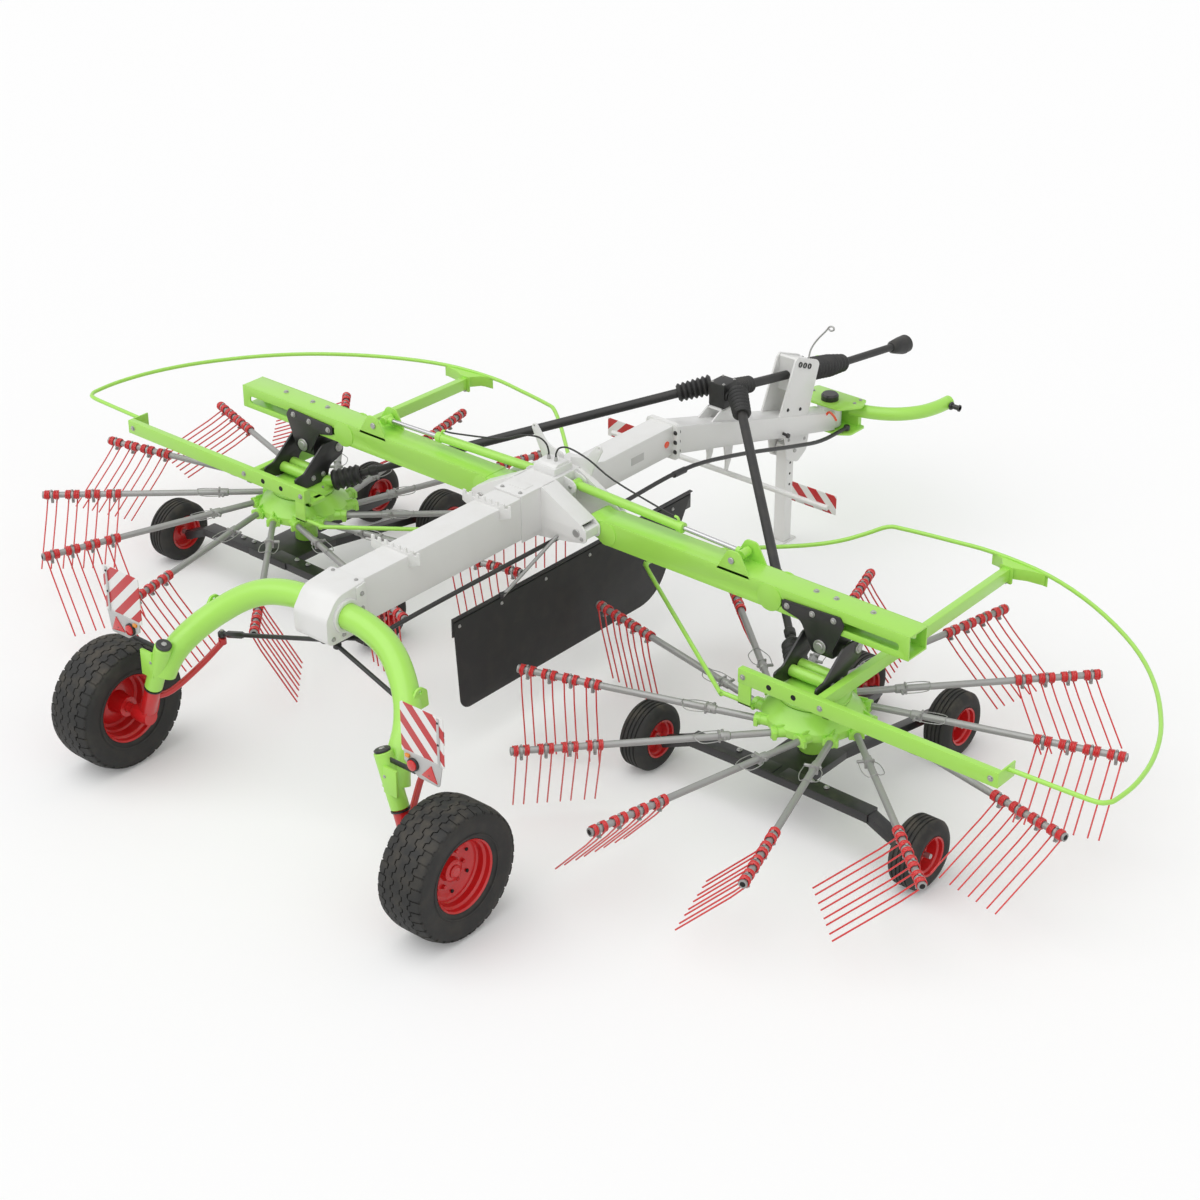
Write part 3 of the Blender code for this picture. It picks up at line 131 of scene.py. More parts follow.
class ShaderBench:
    """Builds the shared shader groups once, and the materials that place them."""

    def __init__(self) -> None:
        """Make the shared groups."""
        self.surface = self._surface_group()
        self.stripes = self._stripe_group()
        self.made: dict[Finish, bpy.types.Material] = {}

    def _surface_group(self) -> bpy.types.NodeTree:
        """Mottling, settled dust and fine grain for any finish.

        Returns:
            The group, which puts out a colour, a roughness and a height.
        """
        tree = bpy.data.node_groups.new("weathered_surface", "ShaderNodeTree")
        node_socket(tree, "Base", "NodeSocketColor", value=(0.5, 0.5, 0.5, 1.0))
        for name, value in (("Roughness", 0.4), ("Mottle", 0.08), ("Dust", 0.1), ("Grain Scale", 240.0)):
            node_socket(tree, name, "NodeSocketFloat", value=value)
        node_socket(tree, "Colour", "NodeSocketColor", into=False)
        node_socket(tree, "Roughness", "NodeSocketFloat", into=False)
        node_socket(tree, "Height", "NodeSocketFloat", into=False)
        nodes, link = tree.nodes, tree.links.new
        given, out = nodes.new("NodeGroupInput"), nodes.new("NodeGroupOutput")
        place = nodes.new("ShaderNodeTexCoord")
        broad, fine, dust = (nodes.new("ShaderNodeTexNoise") for _ in range(3))
        broad.inputs["Scale"].default_value, broad.inputs["Detail"].default_value = 3.5, 5.0
        dust.inputs["Scale"].default_value, dust.inputs["Detail"].default_value = 11.0, 6.0
        fine.inputs["Detail"].default_value = 3.0
        link(given.outputs["Grain Scale"], fine.inputs["Scale"])
        for noise in (broad, fine, dust):
            link(place.outputs["Object"], noise.inputs["Vector"])
        centred = nodes.new("ShaderNodeMath")
        centred.operation, centred.inputs[1].default_value = "SUBTRACT", 0.5
        link(broad.outputs["Fac"], centred.inputs[0])
        shade = nodes.new("ShaderNodeMath")
        shade.operation, shade.inputs[2].default_value = "MULTIPLY_ADD", 1.0
        link(centred.outputs[0], shade.inputs[0])
        link(given.outputs["Mottle"], shade.inputs[1])
        toned = nodes.new("ShaderNodeVectorMath")
        toned.operation = "SCALE"
        link(given.outputs["Base"], toned.inputs[0])
        link(shade.outputs[0], toned.inputs["Scale"])
        facing, split = nodes.new("ShaderNodeNewGeometry"), nodes.new("ShaderNodeSeparateXYZ")
        link(facing.outputs["Normal"], split.inputs[0])
        upward = nodes.new("ShaderNodeMapRange")
        upward.inputs["From Min"].default_value, upward.inputs["From Max"].default_value = 0.2, 1.0
        upward.inputs["To Min"].default_value = 0.25
        link(split.outputs["Z"], upward.inputs["Value"])
        patches = nodes.new("ShaderNodeMapRange")
        patches.inputs["From Min"].default_value, patches.inputs["From Max"].default_value = 0.45, 0.72
        link(dust.outputs["Fac"], patches.inputs["Value"])
        settled, amount = nodes.new("ShaderNodeMath"), nodes.new("ShaderNodeMath")
        settled.operation = amount.operation = "MULTIPLY"
        link(upward.outputs[0], settled.inputs[0])
        link(patches.outputs[0], settled.inputs[1])
        link(settled.outputs[0], amount.inputs[0])
        link(given.outputs["Dust"], amount.inputs[1])
        mixed = nodes.new("ShaderNodeMix")
        mixed.data_type = "RGBA"
        mixed.inputs["B"].default_value = (0.42, 0.36, 0.27, 1.0)
        link(amount.outputs[0], mixed.inputs["Factor"])
        link(toned.outputs[0], mixed.inputs["A"])
        rough, capped = nodes.new("ShaderNodeMath"), nodes.new("ShaderNodeMath")
        rough.operation, rough.inputs[1].default_value = "MULTIPLY_ADD", 0.25
        link(centred.outputs[0], rough.inputs[0])
        link(given.outputs["Roughness"], rough.inputs[2])
        capped.operation, capped.use_clamp = "ADD", True
        link(rough.outputs[0], capped.inputs[0])
        link(amount.outputs[0], capped.inputs[1])
        link(mixed.outputs["Result"], out.inputs["Colour"])
        link(capped.outputs[0], out.inputs["Roughness"])
        link(fine.outputs["Fac"], out.inputs["Height"])
        return tree

    def _stripe_group(self) -> bpy.types.NodeTree:
        """Diagonal warning stripes across X and Z.

        Returns:
            The group, which puts out a mask that is 1 on a stripe.
        """
        tree = bpy.data.node_groups.new("diagonal_stripes", "ShaderNodeTree")
        node_socket(tree, "Pitch", "NodeSocketFloat", value=0.14)
        node_socket(tree, "Lean", "NodeSocketFloat", value=1.0)
        node_socket(tree, "Mask", "NodeSocketFloat", into=False)
        nodes, link = tree.nodes, tree.links.new
        given, out = nodes.new("NodeGroupInput"), nodes.new("NodeGroupOutput")
        place, split = nodes.new("ShaderNodeTexCoord"), nodes.new("ShaderNodeSeparateXYZ")
        link(place.outputs["Object"], split.inputs[0])
        width, along, share = (nodes.new("ShaderNodeMath") for _ in range(3))
        width.operation, width.inputs[1].default_value = "ABSOLUTE", 0.0
        link(split.outputs["X"], width.inputs[0])
        along.operation = "MULTIPLY_ADD"
        link(width.outputs[0], along.inputs[0])
        link(given.outputs["Lean"], along.inputs[1])
        link(split.outputs["Z"], along.inputs[2])
        share.operation = "DIVIDE"
        link(along.outputs[0], share.inputs[0])
        link(given.outputs["Pitch"], share.inputs[1])
        turn, step = nodes.new("ShaderNodeMath"), nodes.new("ShaderNodeMath")
        turn.operation = "FRACT"
        link(share.outputs[0], turn.inputs[0])
        step.operation, step.inputs[1].default_value = "GREATER_THAN", 0.5
        link(turn.outputs[0], step.inputs[0])
        link(step.outputs[0], out.inputs["Mask"])
        return tree

    def material(self, finish: Finish) -> bpy.types.Material:
        """The material of a finish, made the first time it is asked for.

        Args:
            finish: The finish.

        Returns:
            Its material.
        """
        if finish in self.made:
            return self.made[finish]
        look = LOOKS[finish]
        material = bpy.data.materials.new(finish.value)
        material.use_nodes = True
        nodes, link = material.node_tree.nodes, material.node_tree.links.new
        shader = nodes["Principled BSDF"]
        surface = nodes.new("ShaderNodeGroup")
        surface.node_tree = self.surface
        surface.inputs["Base"].default_value = (*look.colour, 1.0)
        surface.inputs["Roughness"].default_value = look.roughness
        surface.inputs["Mottle"].default_value = look.mottle
        surface.inputs["Dust"].default_value = look.dust
        surface.inputs["Grain Scale"].default_value = look.grain_scale
        if finish is Finish.STRIPE:
            self._stripe_into(nodes, link, surface)
        link(surface.outputs["Colour"], shader.inputs["Base Color"])
        link(surface.outputs["Roughness"], shader.inputs["Roughness"])
        bump = nodes.new("ShaderNodeBump")
        bump.inputs["Strength"].default_value = look.grain
        bump.inputs["Distance"].default_value = 0.0012
        link(surface.outputs["Height"], bump.inputs["Height"])
        link(bump.outputs["Normal"], shader.inputs["Normal"])
        shader.inputs["Metallic"].default_value = look.metallic
        shader.inputs["Coat Weight"].default_value = look.coat
        shader.inputs["Coat Roughness"].default_value = 0.16
        self.made[finish] = material
        return material

    def _stripe_into(self, nodes: bpy.types.Nodes, link: Callable, surface: bpy.types.Node) -> None:
        """Feed red and white stripes to a surface's base colour.

        Args:
            nodes: The material's nodes.
            link: The material's link maker.
            surface: The surface group's node.
        """
        stripes, mixed = nodes.new("ShaderNodeGroup"), nodes.new("ShaderNodeMix")
        stripes.node_tree = self.stripes
        mixed.data_type = "RGBA"
        mixed.inputs["A"].default_value = (0.78, 0.78, 0.76, 1.0)
        mixed.inputs["B"].default_value = (0.52, 0.030, 0.034, 1.0)
        link(stripes.outputs["Mask"], mixed.inputs["Factor"])
        link(mixed.outputs["Result"], surface.inputs["Base"])


# ---------------------------------------------------------------- plain shapes
def mesh_of(bm: bmesh.types.BMesh, weld: float = 0.0) -> bpy.types.Mesh:
    """Close a bmesh into a mesh with its faces outwards.

    Args:
        bm: The bmesh, which is freed.
        weld: Distance under which points are merged, or 0.

    Returns:
        The mesh.
    """
    if weld:
        bmesh.ops.remove_doubles(bm, verts=bm.verts, dist=weld)
    bmesh.ops.recalc_face_normals(bm, faces=bm.faces)
    mesh = bpy.data.meshes.new("shape")
    bm.to_mesh(mesh)
    bm.free()
    return mesh


def mirrored(sign: float, point: Sequence[float]) -> Point:
    """A right-hand point at the side with this sign."""
    return (sign * point[0], point[1], point[2])


def box(x: Sequence[float], y: Sequence[float], z: Sequence[float], bevel: float = 0.003) -> bpy.types.Mesh:
    """A block between two values on each axis, with its edges eased.

    Args:
        x: Two values along X.
        y: Two values along Y.
        z: Two values along Z.
        bevel: Width of the eased edges.

    Returns:
        The mesh.
    """
    low, high = [min(p) for p in (x, y, z)], [max(p) for p in (x, y, z)]
    bm = bmesh.new()
    bmesh.ops.create_cube(bm, size=1.0)
    for vert in bm.verts:
        vert.co = [(low[i] + high[i]) / 2 + vert.co[i] * (high[i] - low[i]) for i in range(3)]
    if bevel:
        bmesh.ops.bevel(bm, geom=bm.edges[:], offset=bevel, segments=2, profile=0.6, affect="EDGES")
    return mesh_of(bm)


def beam(start: Sequence[float], end: Sequence[float], width: float, height: float,
         bevel: float = 0.004) -> bpy.types.Mesh:
    """A square tube between two points, its height as near to Z as it can be.

    Args:
        start: One end.
        end: The other end.
        width: Its width across.
        height: Its height.
        bevel: Width of the eased edges.

    Returns:
        The mesh.
    """
    a, b = Vector(start), Vector(end)
    along = (b - a).normalized()
    across = along.cross(Vector((0, 0, 1))).normalized()
    turn = Matrix((across, along, across.cross(along))).transposed().to_4x4()
    half = (b - a).length / 2
    mesh = box((-width / 2, width / 2), (-half, half), (-height / 2, height / 2), bevel)
    mesh.transform(Matrix.Translation((a + b) / 2) @ turn)
    return mesh


def revolve(profile: Sequence[tuple[float, float]], centre: Sequence[float], axis: Sequence[float],
            steps: int = FAR_SIDES) -> bpy.types.Mesh:
    """A ring or a closed disc, turned from a profile of radius and height.

    Args:
        profile: Radius and height pairs; a profile clear of the axis closes on itself.
        centre: The profile's zero height, on the axis.
        axis: Direction of the axis.
        steps: Number of sides.

    Returns:
        The mesh.
    """
    bm = bmesh.new()
    closed = all(radius > 1e-6 for radius, _ in profile)
    rings = []
    for k in range(steps):
        a = 2 * math.pi * k / steps
        rings.append([bm.verts.new((r * math.cos(a), r * math.sin(a), h)) for r, h in profile])
    count = len(profile)
    for k in range(steps):
        here, there = rings[k], rings[(k + 1) % steps]
        for i in range(count if closed else count - 1):
            j = (i + 1) % count
            bm.faces.new((here[i], here[j], there[j], there[i]))
    turn = Vector(axis).normalized().to_track_quat("Z", "Y").to_matrix().to_4x4()
    bmesh.ops.transform(bm, matrix=Matrix.Translation(centre) @ turn, verts=bm.verts)
    bmesh.ops.remove_doubles(bm, verts=bm.verts, dist=1e-6)
    bmesh.ops.dissolve_degenerate(bm, edges=bm.edges, dist=1e-7)
    return mesh_of(bm)


def turned(stations: Sequence[tuple[float, float]], start: Sequence[float], towards: Sequence[float],
           steps: int = FAR_SIDES) -> bpy.types.Mesh:
    """A solid of revolution from distances and radii along a line.

    Args:
        stations: Distance along the line and radius there.
        start: Where the line starts.
        towards: Any later point on it.
        steps: Number of sides.

    Returns:
        The mesh, closed at both ends.
    """
    profile = [(0.0, stations[0][0])] + [(r, d) for d, r in stations] + [(0.0, stations[-1][0])]
    return revolve(profile, start, Vector(towards) - Vector(start), steps)


def rod(start: Sequence[float], end: Sequence[float], radius: float, steps: int = FAR_SIDES,
        ease: float = 0.003) -> bpy.types.Mesh:
    """A round bar with eased ends.

    Args:
        start: One end.
        end: The other end.
        radius: Its radius.
        steps: Number of sides.
        ease: Chamfer at both ends.

    Returns:
        The mesh.
    """
    length = (Vector(end) - Vector(start)).length
    ease = min(ease, radius / 2, length / 3)
    return turned([(0, radius - ease), (ease, radius), (length - ease, radius), (length, radius - ease)],
                  start, end, steps)


def bellows(start: Sequence[float], end: Sequence[float], radius: float, end_radius: float,
            folds: int, steps: int = 28) -> bpy.types.Mesh:
    """A ribbed rubber sleeve.

    Args:
        start: One end.
        end: The other end.
        radius: Outer radius at the start.
        end_radius: Outer radius at the end.
        folds: Number of ribs.
        steps: Number of sides.

    Returns:
        The mesh.
    """
    length = (Vector(end) - Vector(start)).length
    stations = []
    for i in range(folds * 6 + 1):
        t = i / (folds * 6)
        outer = radius + (end_radius - radius) * t
        wave = 0.5 - 0.5 * math.cos(2 * math.pi * folds * t)
        stations.append((t * length, outer * (0.76 + 0.24 * wave ** 0.7)))
    return turned(stations, start, end, steps)


def smooth(points: Sequence[Sequence[float]], steps: int = 5) -> list[Vector]:
    """Points on a smooth curve through the given ones.

    Args:
        points: Points to pass through.
        steps: Points for each span.

    Returns:
        The curve's points.
    """
    given = [Vector(p) for p in points]
    ends = [2 * given[0] - given[1], *given, 2 * given[-1] - given[-2]]
    route = []
    for a, b, c, d in zip(ends, ends[1:], ends[2:], ends[3:]):
        for step in range(steps):
            t = step / steps
            route.append(0.5 * (2 * b + (c - a) * t + (2 * a - 5 * b + 4 * c - d) * t * t
                                + (3 * b - 3 * c + d - a) * t ** 3))
    route.append(given[-1])
    return route


def sweep(route: Sequence[Sequence[float]], radius: float | Sequence[float], steps: int = 14) -> bpy.types.Mesh:
    """A round tube along a route, closed at both ends.

    Args:
        route: The points it follows.
        radius: Its radius, or one for each point.
        steps: Number of sides.

    Returns:
        The mesh.
    """
    points = [Vector(p) for p in route]
    radii = [radius] * len(points) if isinstance(radius, float) else list(radius)
    ways = [(points[min(i + 1, len(points) - 1)] - points[max(i - 1, 0)]).normalized()
            for i in range(len(points))]
    side = ways[0].orthogonal().normalized()
    bm, rings = bmesh.new(), []
    for point, way, r in zip(points, ways, radii):
        side = (side - way * side.dot(way)).normalized()
        other = way.cross(side)
        rings.append([bm.verts.new(point + r * (math.cos(a) * side + math.sin(a) * other))
                      for a in (2 * math.pi * k / steps for k in range(steps))])
    for here, there in zip(rings, rings[1:]):
        for k in range(steps):
            bm.faces.new((here[k], here[(k + 1) % steps], there[(k + 1) % steps], there[k]))
    bm.faces.new(rings[0][::-1])
    bm.faces.new(rings[-1])
    return mesh_of(bm)


def circle(centre: Sequence[float], radius: float, steps: int = 20) -> list[tuple[float, float]]:
    """A round outline."""
    return [(centre[0] + radius * math.cos(2 * math.pi * i / steps),
             centre[1] + radius * math.sin(2 * math.pi * i / steps)) for i in range(steps)]


def rounded(corners: Sequence[tuple[float, float, float]], steps: int = 4) -> list[tuple[float, float]]:
    """An outline with rounded corners.

    Args:
        corners: Each corner's two coordinates and its radius.
        steps: Points in each arc.

    Returns:
        The outline's points.
    """
    outline = []
    for i, (a, b, radius) in enumerate(corners):
        here = Vector((a, b))
        if radius <= 0:
            outline.append((a, b))
            continue
        before = Vector(corners[i - 1][:2]) - here
        after = Vector(corners[(i + 1) % len(corners)][:2]) - here
        room = 0.45 * min(before.length, after.length)
        before, after = before.normalized(), after.normalized()
        half = before.angle(after) / 2
        radius = min(radius, room * math.tan(half))
        reach = radius / math.tan(half)
        centre = here + (before + after).normalized() * radius / math.sin(half)
        first, last = here + before * reach - centre, here + after * reach - centre
        for step in range(steps + 1):
            outline.append(tuple(centre + first.slerp(last, step / steps).normalized() * radius))
    return outline


FRAMES: dict[str, Callable[[float], Matrix]] = {
    "x": lambda at: Matrix(((0, 0, 1, at), (1, 0, 0, 0), (0, 1, 0, 0), (0, 0, 0, 1))),
    "y": lambda at: Matrix(((1, 0, 0, 0), (0, 0, -1, at), (0, 1, 0, 0), (0, 0, 0, 1))),
    "z": lambda at: Matrix(((1, 0, 0, 0), (0, 1, 0, 0), (0, 0, 1, at), (0, 0, 0, 1))),
}


def plate(outline: Sequence[tuple[float, float]], thickness: float, normal: str, at: float,
          holes: Iterable[Sequence[tuple[float, float]]] = (), ease: float = 0.0015) -> bpy.types.Mesh:
    """A flat plate with eased edges.

    Args:
        outline: Its corners: (y, z) where it faces x, (x, z) for y and (x, y) for z.
        thickness: Its thickness.
        normal: The axis that it faces.
        at: Where its middle lies along that axis.
        holes: Outlines of its openings.
        ease: Width of the eased edges.

    Returns:
        The mesh.
    """
    ease = min(ease, thickness / 3)
    curve = bpy.data.curves.new("outline", "CURVE")
    curve.dimensions, curve.fill_mode = "2D", "BOTH"
    curve.extrude, curve.bevel_depth = thickness / 2 - ease, ease
    curve.bevel_resolution, curve.offset = 1, -ease
    for ring in (outline, *holes):
        spline = curve.splines.new("POLY")
        spline.points.add(len(ring) - 1)
        for target, (a, b) in zip(spline.points, ring):
            target.co = (a, b, 0.0, 1.0)
        spline.use_cyclic_u = True
    obj = bpy.data.objects.new("outline", curve)
    mesh = bpy.data.meshes.new_from_object(obj)
    bpy.data.objects.remove(obj)
    bpy.data.curves.remove(curve)
    bm = bmesh.new()
    bm.from_mesh(mesh)
    bpy.data.meshes.remove(mesh)
    bmesh.ops.transform(bm, matrix=FRAMES[normal](at), verts=bm.verts)
    return mesh_of(bm, weld=1e-5)


# ---------------------------------------------------------------- repeated shapes
class Trees:
    """The Geometry Nodes trees that place what repeats."""

    def __init__(self) -> None:
        """Build each tree once."""
        self.ring = self._ring_tree()
        self.placed = self._placed_tree()
        self.tines = self._tine_tree()

    @staticmethod
    def _new(name: str, floats: Sequence[tuple[str, float]]) -> bpy.types.NodeTree:
        """A tree with geometry in and out, a material and number inputs.

        Args:
            name: The tree's name.
            floats: Names and defaults of its number inputs.

        Returns:
            The tree.
        """
        tree = bpy.data.node_groups.new(name, "GeometryNodeTree")
        tree.is_modifier = True
        node_socket(tree, "Geometry", "NodeSocketGeometry")
        node_socket(tree, "Finish", "NodeSocketMaterial")
        for label, value in floats:
            node_socket(tree, label, "NodeSocketFloat", value=value)
        node_socket(tree, "Geometry", "NodeSocketGeometry", into=False)
        return tree

    @staticmethod
    def _close(tree: bpy.types.NodeTree, given: bpy.types.Node, shape: bpy.types.NodeSocket) -> None:
        """End a tree in Realize Instances and Set Material.

        Args:
            tree: The tree.
            given: Its group input.
            shape: The geometry to put out.
        """
        link = tree.links.new
        real, dress = tree.nodes.new("GeometryNodeRealizeInstances"), tree.nodes.new("GeometryNodeSetMaterial")
        out = tree.nodes.new("NodeGroupOutput")
        link(shape, real.inputs["Geometry"])
        link(real.outputs["Geometry"], dress.inputs["Geometry"])
        link(given.outputs["Finish"], dress.inputs["Material"])
        link(dress.outputs["Geometry"], out.inputs["Geometry"])

    def _ring_tree(self) -> bpy.types.NodeTree:
        """Copies of the incoming shape turned evenly round an axis through the origin.

        Returns:
            The tree.
        """
        tree = self._new("copies_round_axis", [])
        node_socket(tree, "Count", "NodeSocketInt", value=12)
        node_socket(tree, "Axis", "NodeSocketVector", value=(0.0, 0.0, 1.0))
        nodes, link = tree.nodes, tree.links.new
        given = nodes.new("NodeGroupInput")
        points, index, turn = (nodes.new(kind) for kind in
                               ("GeometryNodePoints", "GeometryNodeInputIndex", "FunctionNodeAxisAngleToRotation"))
        share, angle = nodes.new("ShaderNodeMath"), nodes.new("ShaderNodeMath")
        share.operation, share.inputs[0].default_value = "DIVIDE", 2 * math.pi
        angle.operation = "MULTIPLY"
        copies = nodes.new("GeometryNodeInstanceOnPoints")
        link(given.outputs["Count"], points.inputs["Count"])
        link(given.outputs["Count"], share.inputs[1])
        link(share.outputs[0], angle.inputs[0])
        link(index.outputs[0], angle.inputs[1])
        link(given.outputs["Axis"], turn.inputs["Axis"])
        link(angle.outputs[0], turn.inputs["Angle"])
        link(points.outputs[0], copies.inputs["Points"])
        link(given.outputs["Geometry"], copies.inputs["Instance"])
        link(turn.outputs[0], copies.inputs["Rotation"])
        self._close(tree, given, copies.outputs[0])
        return tree

    @staticmethod
    def _turns(tree: bpy.types.NodeTree) -> bpy.types.NodeSocket:
        """The rotation stored on each point as the vector attribute named turn.

        Args:
            tree: The tree to add the nodes to.

        Returns:
            The rotation's socket.
        """
        stored, turn = tree.nodes.new("GeometryNodeInputNamedAttribute"), tree.nodes.new("FunctionNodeEulerToRotation")
        stored.data_type = "FLOAT_VECTOR"
        stored.inputs["Name"].default_value = "turn"
        tree.links.new(stored.outputs["Attribute"], turn.inputs[0])
        return turn.outputs[0]

    def _placed_tree(self) -> bpy.types.NodeTree:
        """A copy of another object's shape on each point, turned and scaled by its attributes.

        Returns:
            The tree.
        """
        tree = self._new("copies_at_places", [("Size", 1.0)])
        node_socket(tree, "Unit", "NodeSocketObject")
        nodes, link = tree.nodes, tree.links.new
        given, unit = nodes.new("NodeGroupInput"), nodes.new("GeometryNodeObjectInfo")
        copies, scale = nodes.new("GeometryNodeInstanceOnPoints"), nodes.new("GeometryNodeInputNamedAttribute")
        scale.data_type = "FLOAT"
        scale.inputs["Name"].default_value = "size"
        sized = nodes.new("ShaderNodeMath")
        sized.operation = "MULTIPLY"
        link(scale.outputs["Attribute"], sized.inputs[0])
        link(given.outputs["Size"], sized.inputs[1])
        link(given.outputs["Unit"], unit.inputs["Object"])
        link(given.outputs["Geometry"], copies.inputs["Points"])
        link(unit.outputs["Geometry"], copies.inputs["Instance"])
        link(self._turns(tree), copies.inputs["Rotation"])
        link(sized.outputs[0], copies.inputs["Scale"])
        self._close(tree, given, copies.outputs[0])
        return tree

    def _tine_tree(self) -> bpy.types.NodeTree:
        """A sprung tine, its coil round the arm and its bent leg, on each point.

        Returns:
            The tree.
        """
        tree = self._new("spring_tines", [("Wire", 0.0048), ("Coil Radius", 0.0275), ("Coil Turns", 3.0),
                                          ("Coil Width", 0.030), ("Knee Y", 0.0), ("Knee Z", -0.14),
                                          ("Tip Y", 0.0), ("Tip Z", -0.54)])
        nodes, link = tree.nodes, tree.links.new
        given = nodes.new("NodeGroupInput")
        coil, lay = nodes.new("GeometryNodeCurveSpiral"), nodes.new("GeometryNodeTransform")
        coil.inputs["Resolution"].default_value = 12
        link(given.outputs["Coil Turns"], coil.inputs["Rotations"])
        link(given.outputs["Coil Radius"], coil.inputs["Start Radius"])
        link(given.outputs["Coil Radius"], coil.inputs["End Radius"])
        link(given.outputs["Coil Width"], coil.inputs["Height"])
        lay.inputs["Rotation"].default_value = (0.0, math.pi / 2, 0.0)
        lay.inputs["Translation"].default_value = (-0.015, 0.0, 0.0)
        link(coil.outputs[0], lay.inputs["Geometry"])
        knee, tip, root = (nodes.new("ShaderNodeCombineXYZ") for _ in range(3))
        link(given.outputs["Knee Y"], knee.inputs["Y"])
        link(given.outputs["Knee Z"], knee.inputs["Z"])
        link(given.outputs["Tip Y"], tip.inputs["Y"])
        link(given.outputs["Tip Z"], tip.inputs["Z"])
        link(given.outputs["Coil Radius"], root.inputs["Y"])
        upper, lower = nodes.new("GeometryNodeCurvePrimitiveLine"), nodes.new("GeometryNodeCurvePrimitiveLine")
        link(root.outputs[0], upper.inputs["Start"])
        link(knee.outputs[0], upper.inputs["End"])
        link(knee.outputs[0], lower.inputs["Start"])
        link(tip.outputs[0], lower.inputs["End"])
        joined, ring = nodes.new("GeometryNodeJoinGeometry"), nodes.new("GeometryNodeCurvePrimitiveCircle")
        ring.inputs["Resolution"].default_value = 6
        link(given.outputs["Wire"], ring.inputs["Radius"])
        for shape in (lay, upper, lower):
            link(shape.outputs[0], joined.inputs[0])
        wire, copies = nodes.new("GeometryNodeCurveToMesh"), nodes.new("GeometryNodeInstanceOnPoints")
        wire.inputs["Fill Caps"].default_value = True
        link(joined.outputs[0], wire.inputs["Curve"])
        link(ring.outputs[0], wire.inputs["Profile Curve"])
        link(given.outputs["Geometry"], copies.inputs["Points"])
        link(wire.outputs[0], copies.inputs["Instance"])
        link(self._turns(tree), copies.inputs["Rotation"])
        self._close(tree, given, copies.outputs[0])
        return tree

    @staticmethod
    def run(base: bpy.types.Mesh, tree: bpy.types.NodeTree, inputs: dict[str, object]) -> bpy.types.Mesh:
        """Evaluate a tree on a base mesh.

        Args:
            base: The mesh that goes in; it is removed.
            tree: The tree.
            inputs: Values by input name.

        Returns:
            The plain mesh that comes out.
        """
        obj = bpy.data.objects.new("bench", base)
        bpy.context.scene.collection.objects.link(obj)
        modifier = obj.modifiers.new("nodes", "NODES")
        modifier.node_group = tree
        for item in tree.interface.items_tree:
            if item.item_type == "SOCKET" and item.in_out == "INPUT" and item.name in inputs:
                modifier[item.identifier] = inputs[item.name]
        bpy.context.view_layer.update()
        mesh = bpy.data.meshes.new_from_object(obj.evaluated_get(bpy.context.evaluated_depsgraph_get()))
        obj.modifiers.remove(modifier)
        bpy.data.objects.remove(obj)
        bpy.data.meshes.remove(base)
        return mesh


def places(turns: Sequence[tuple[Vector, Matrix, float]]) -> bpy.types.Mesh:
    """Points that carry a turn and a size, for the trees to put copies on.

    Args:
        turns: Each copy's place, its rotation and its size.

    Returns:
        A mesh of loose points.
    """
    mesh = bpy.data.meshes.new("places")
    mesh.from_pydata([tuple(place) for place, _, _ in turns], [], [])
    mesh.attributes.new("turn", "FLOAT_VECTOR", "POINT")
    mesh.attributes.new("size", "FLOAT", "POINT")
    for i, (_, matrix, scale) in enumerate(turns):
        mesh.attributes["turn"].data[i].vector = matrix.to_euler()
        mesh.attributes["size"].data[i].value = scale
    return mesh


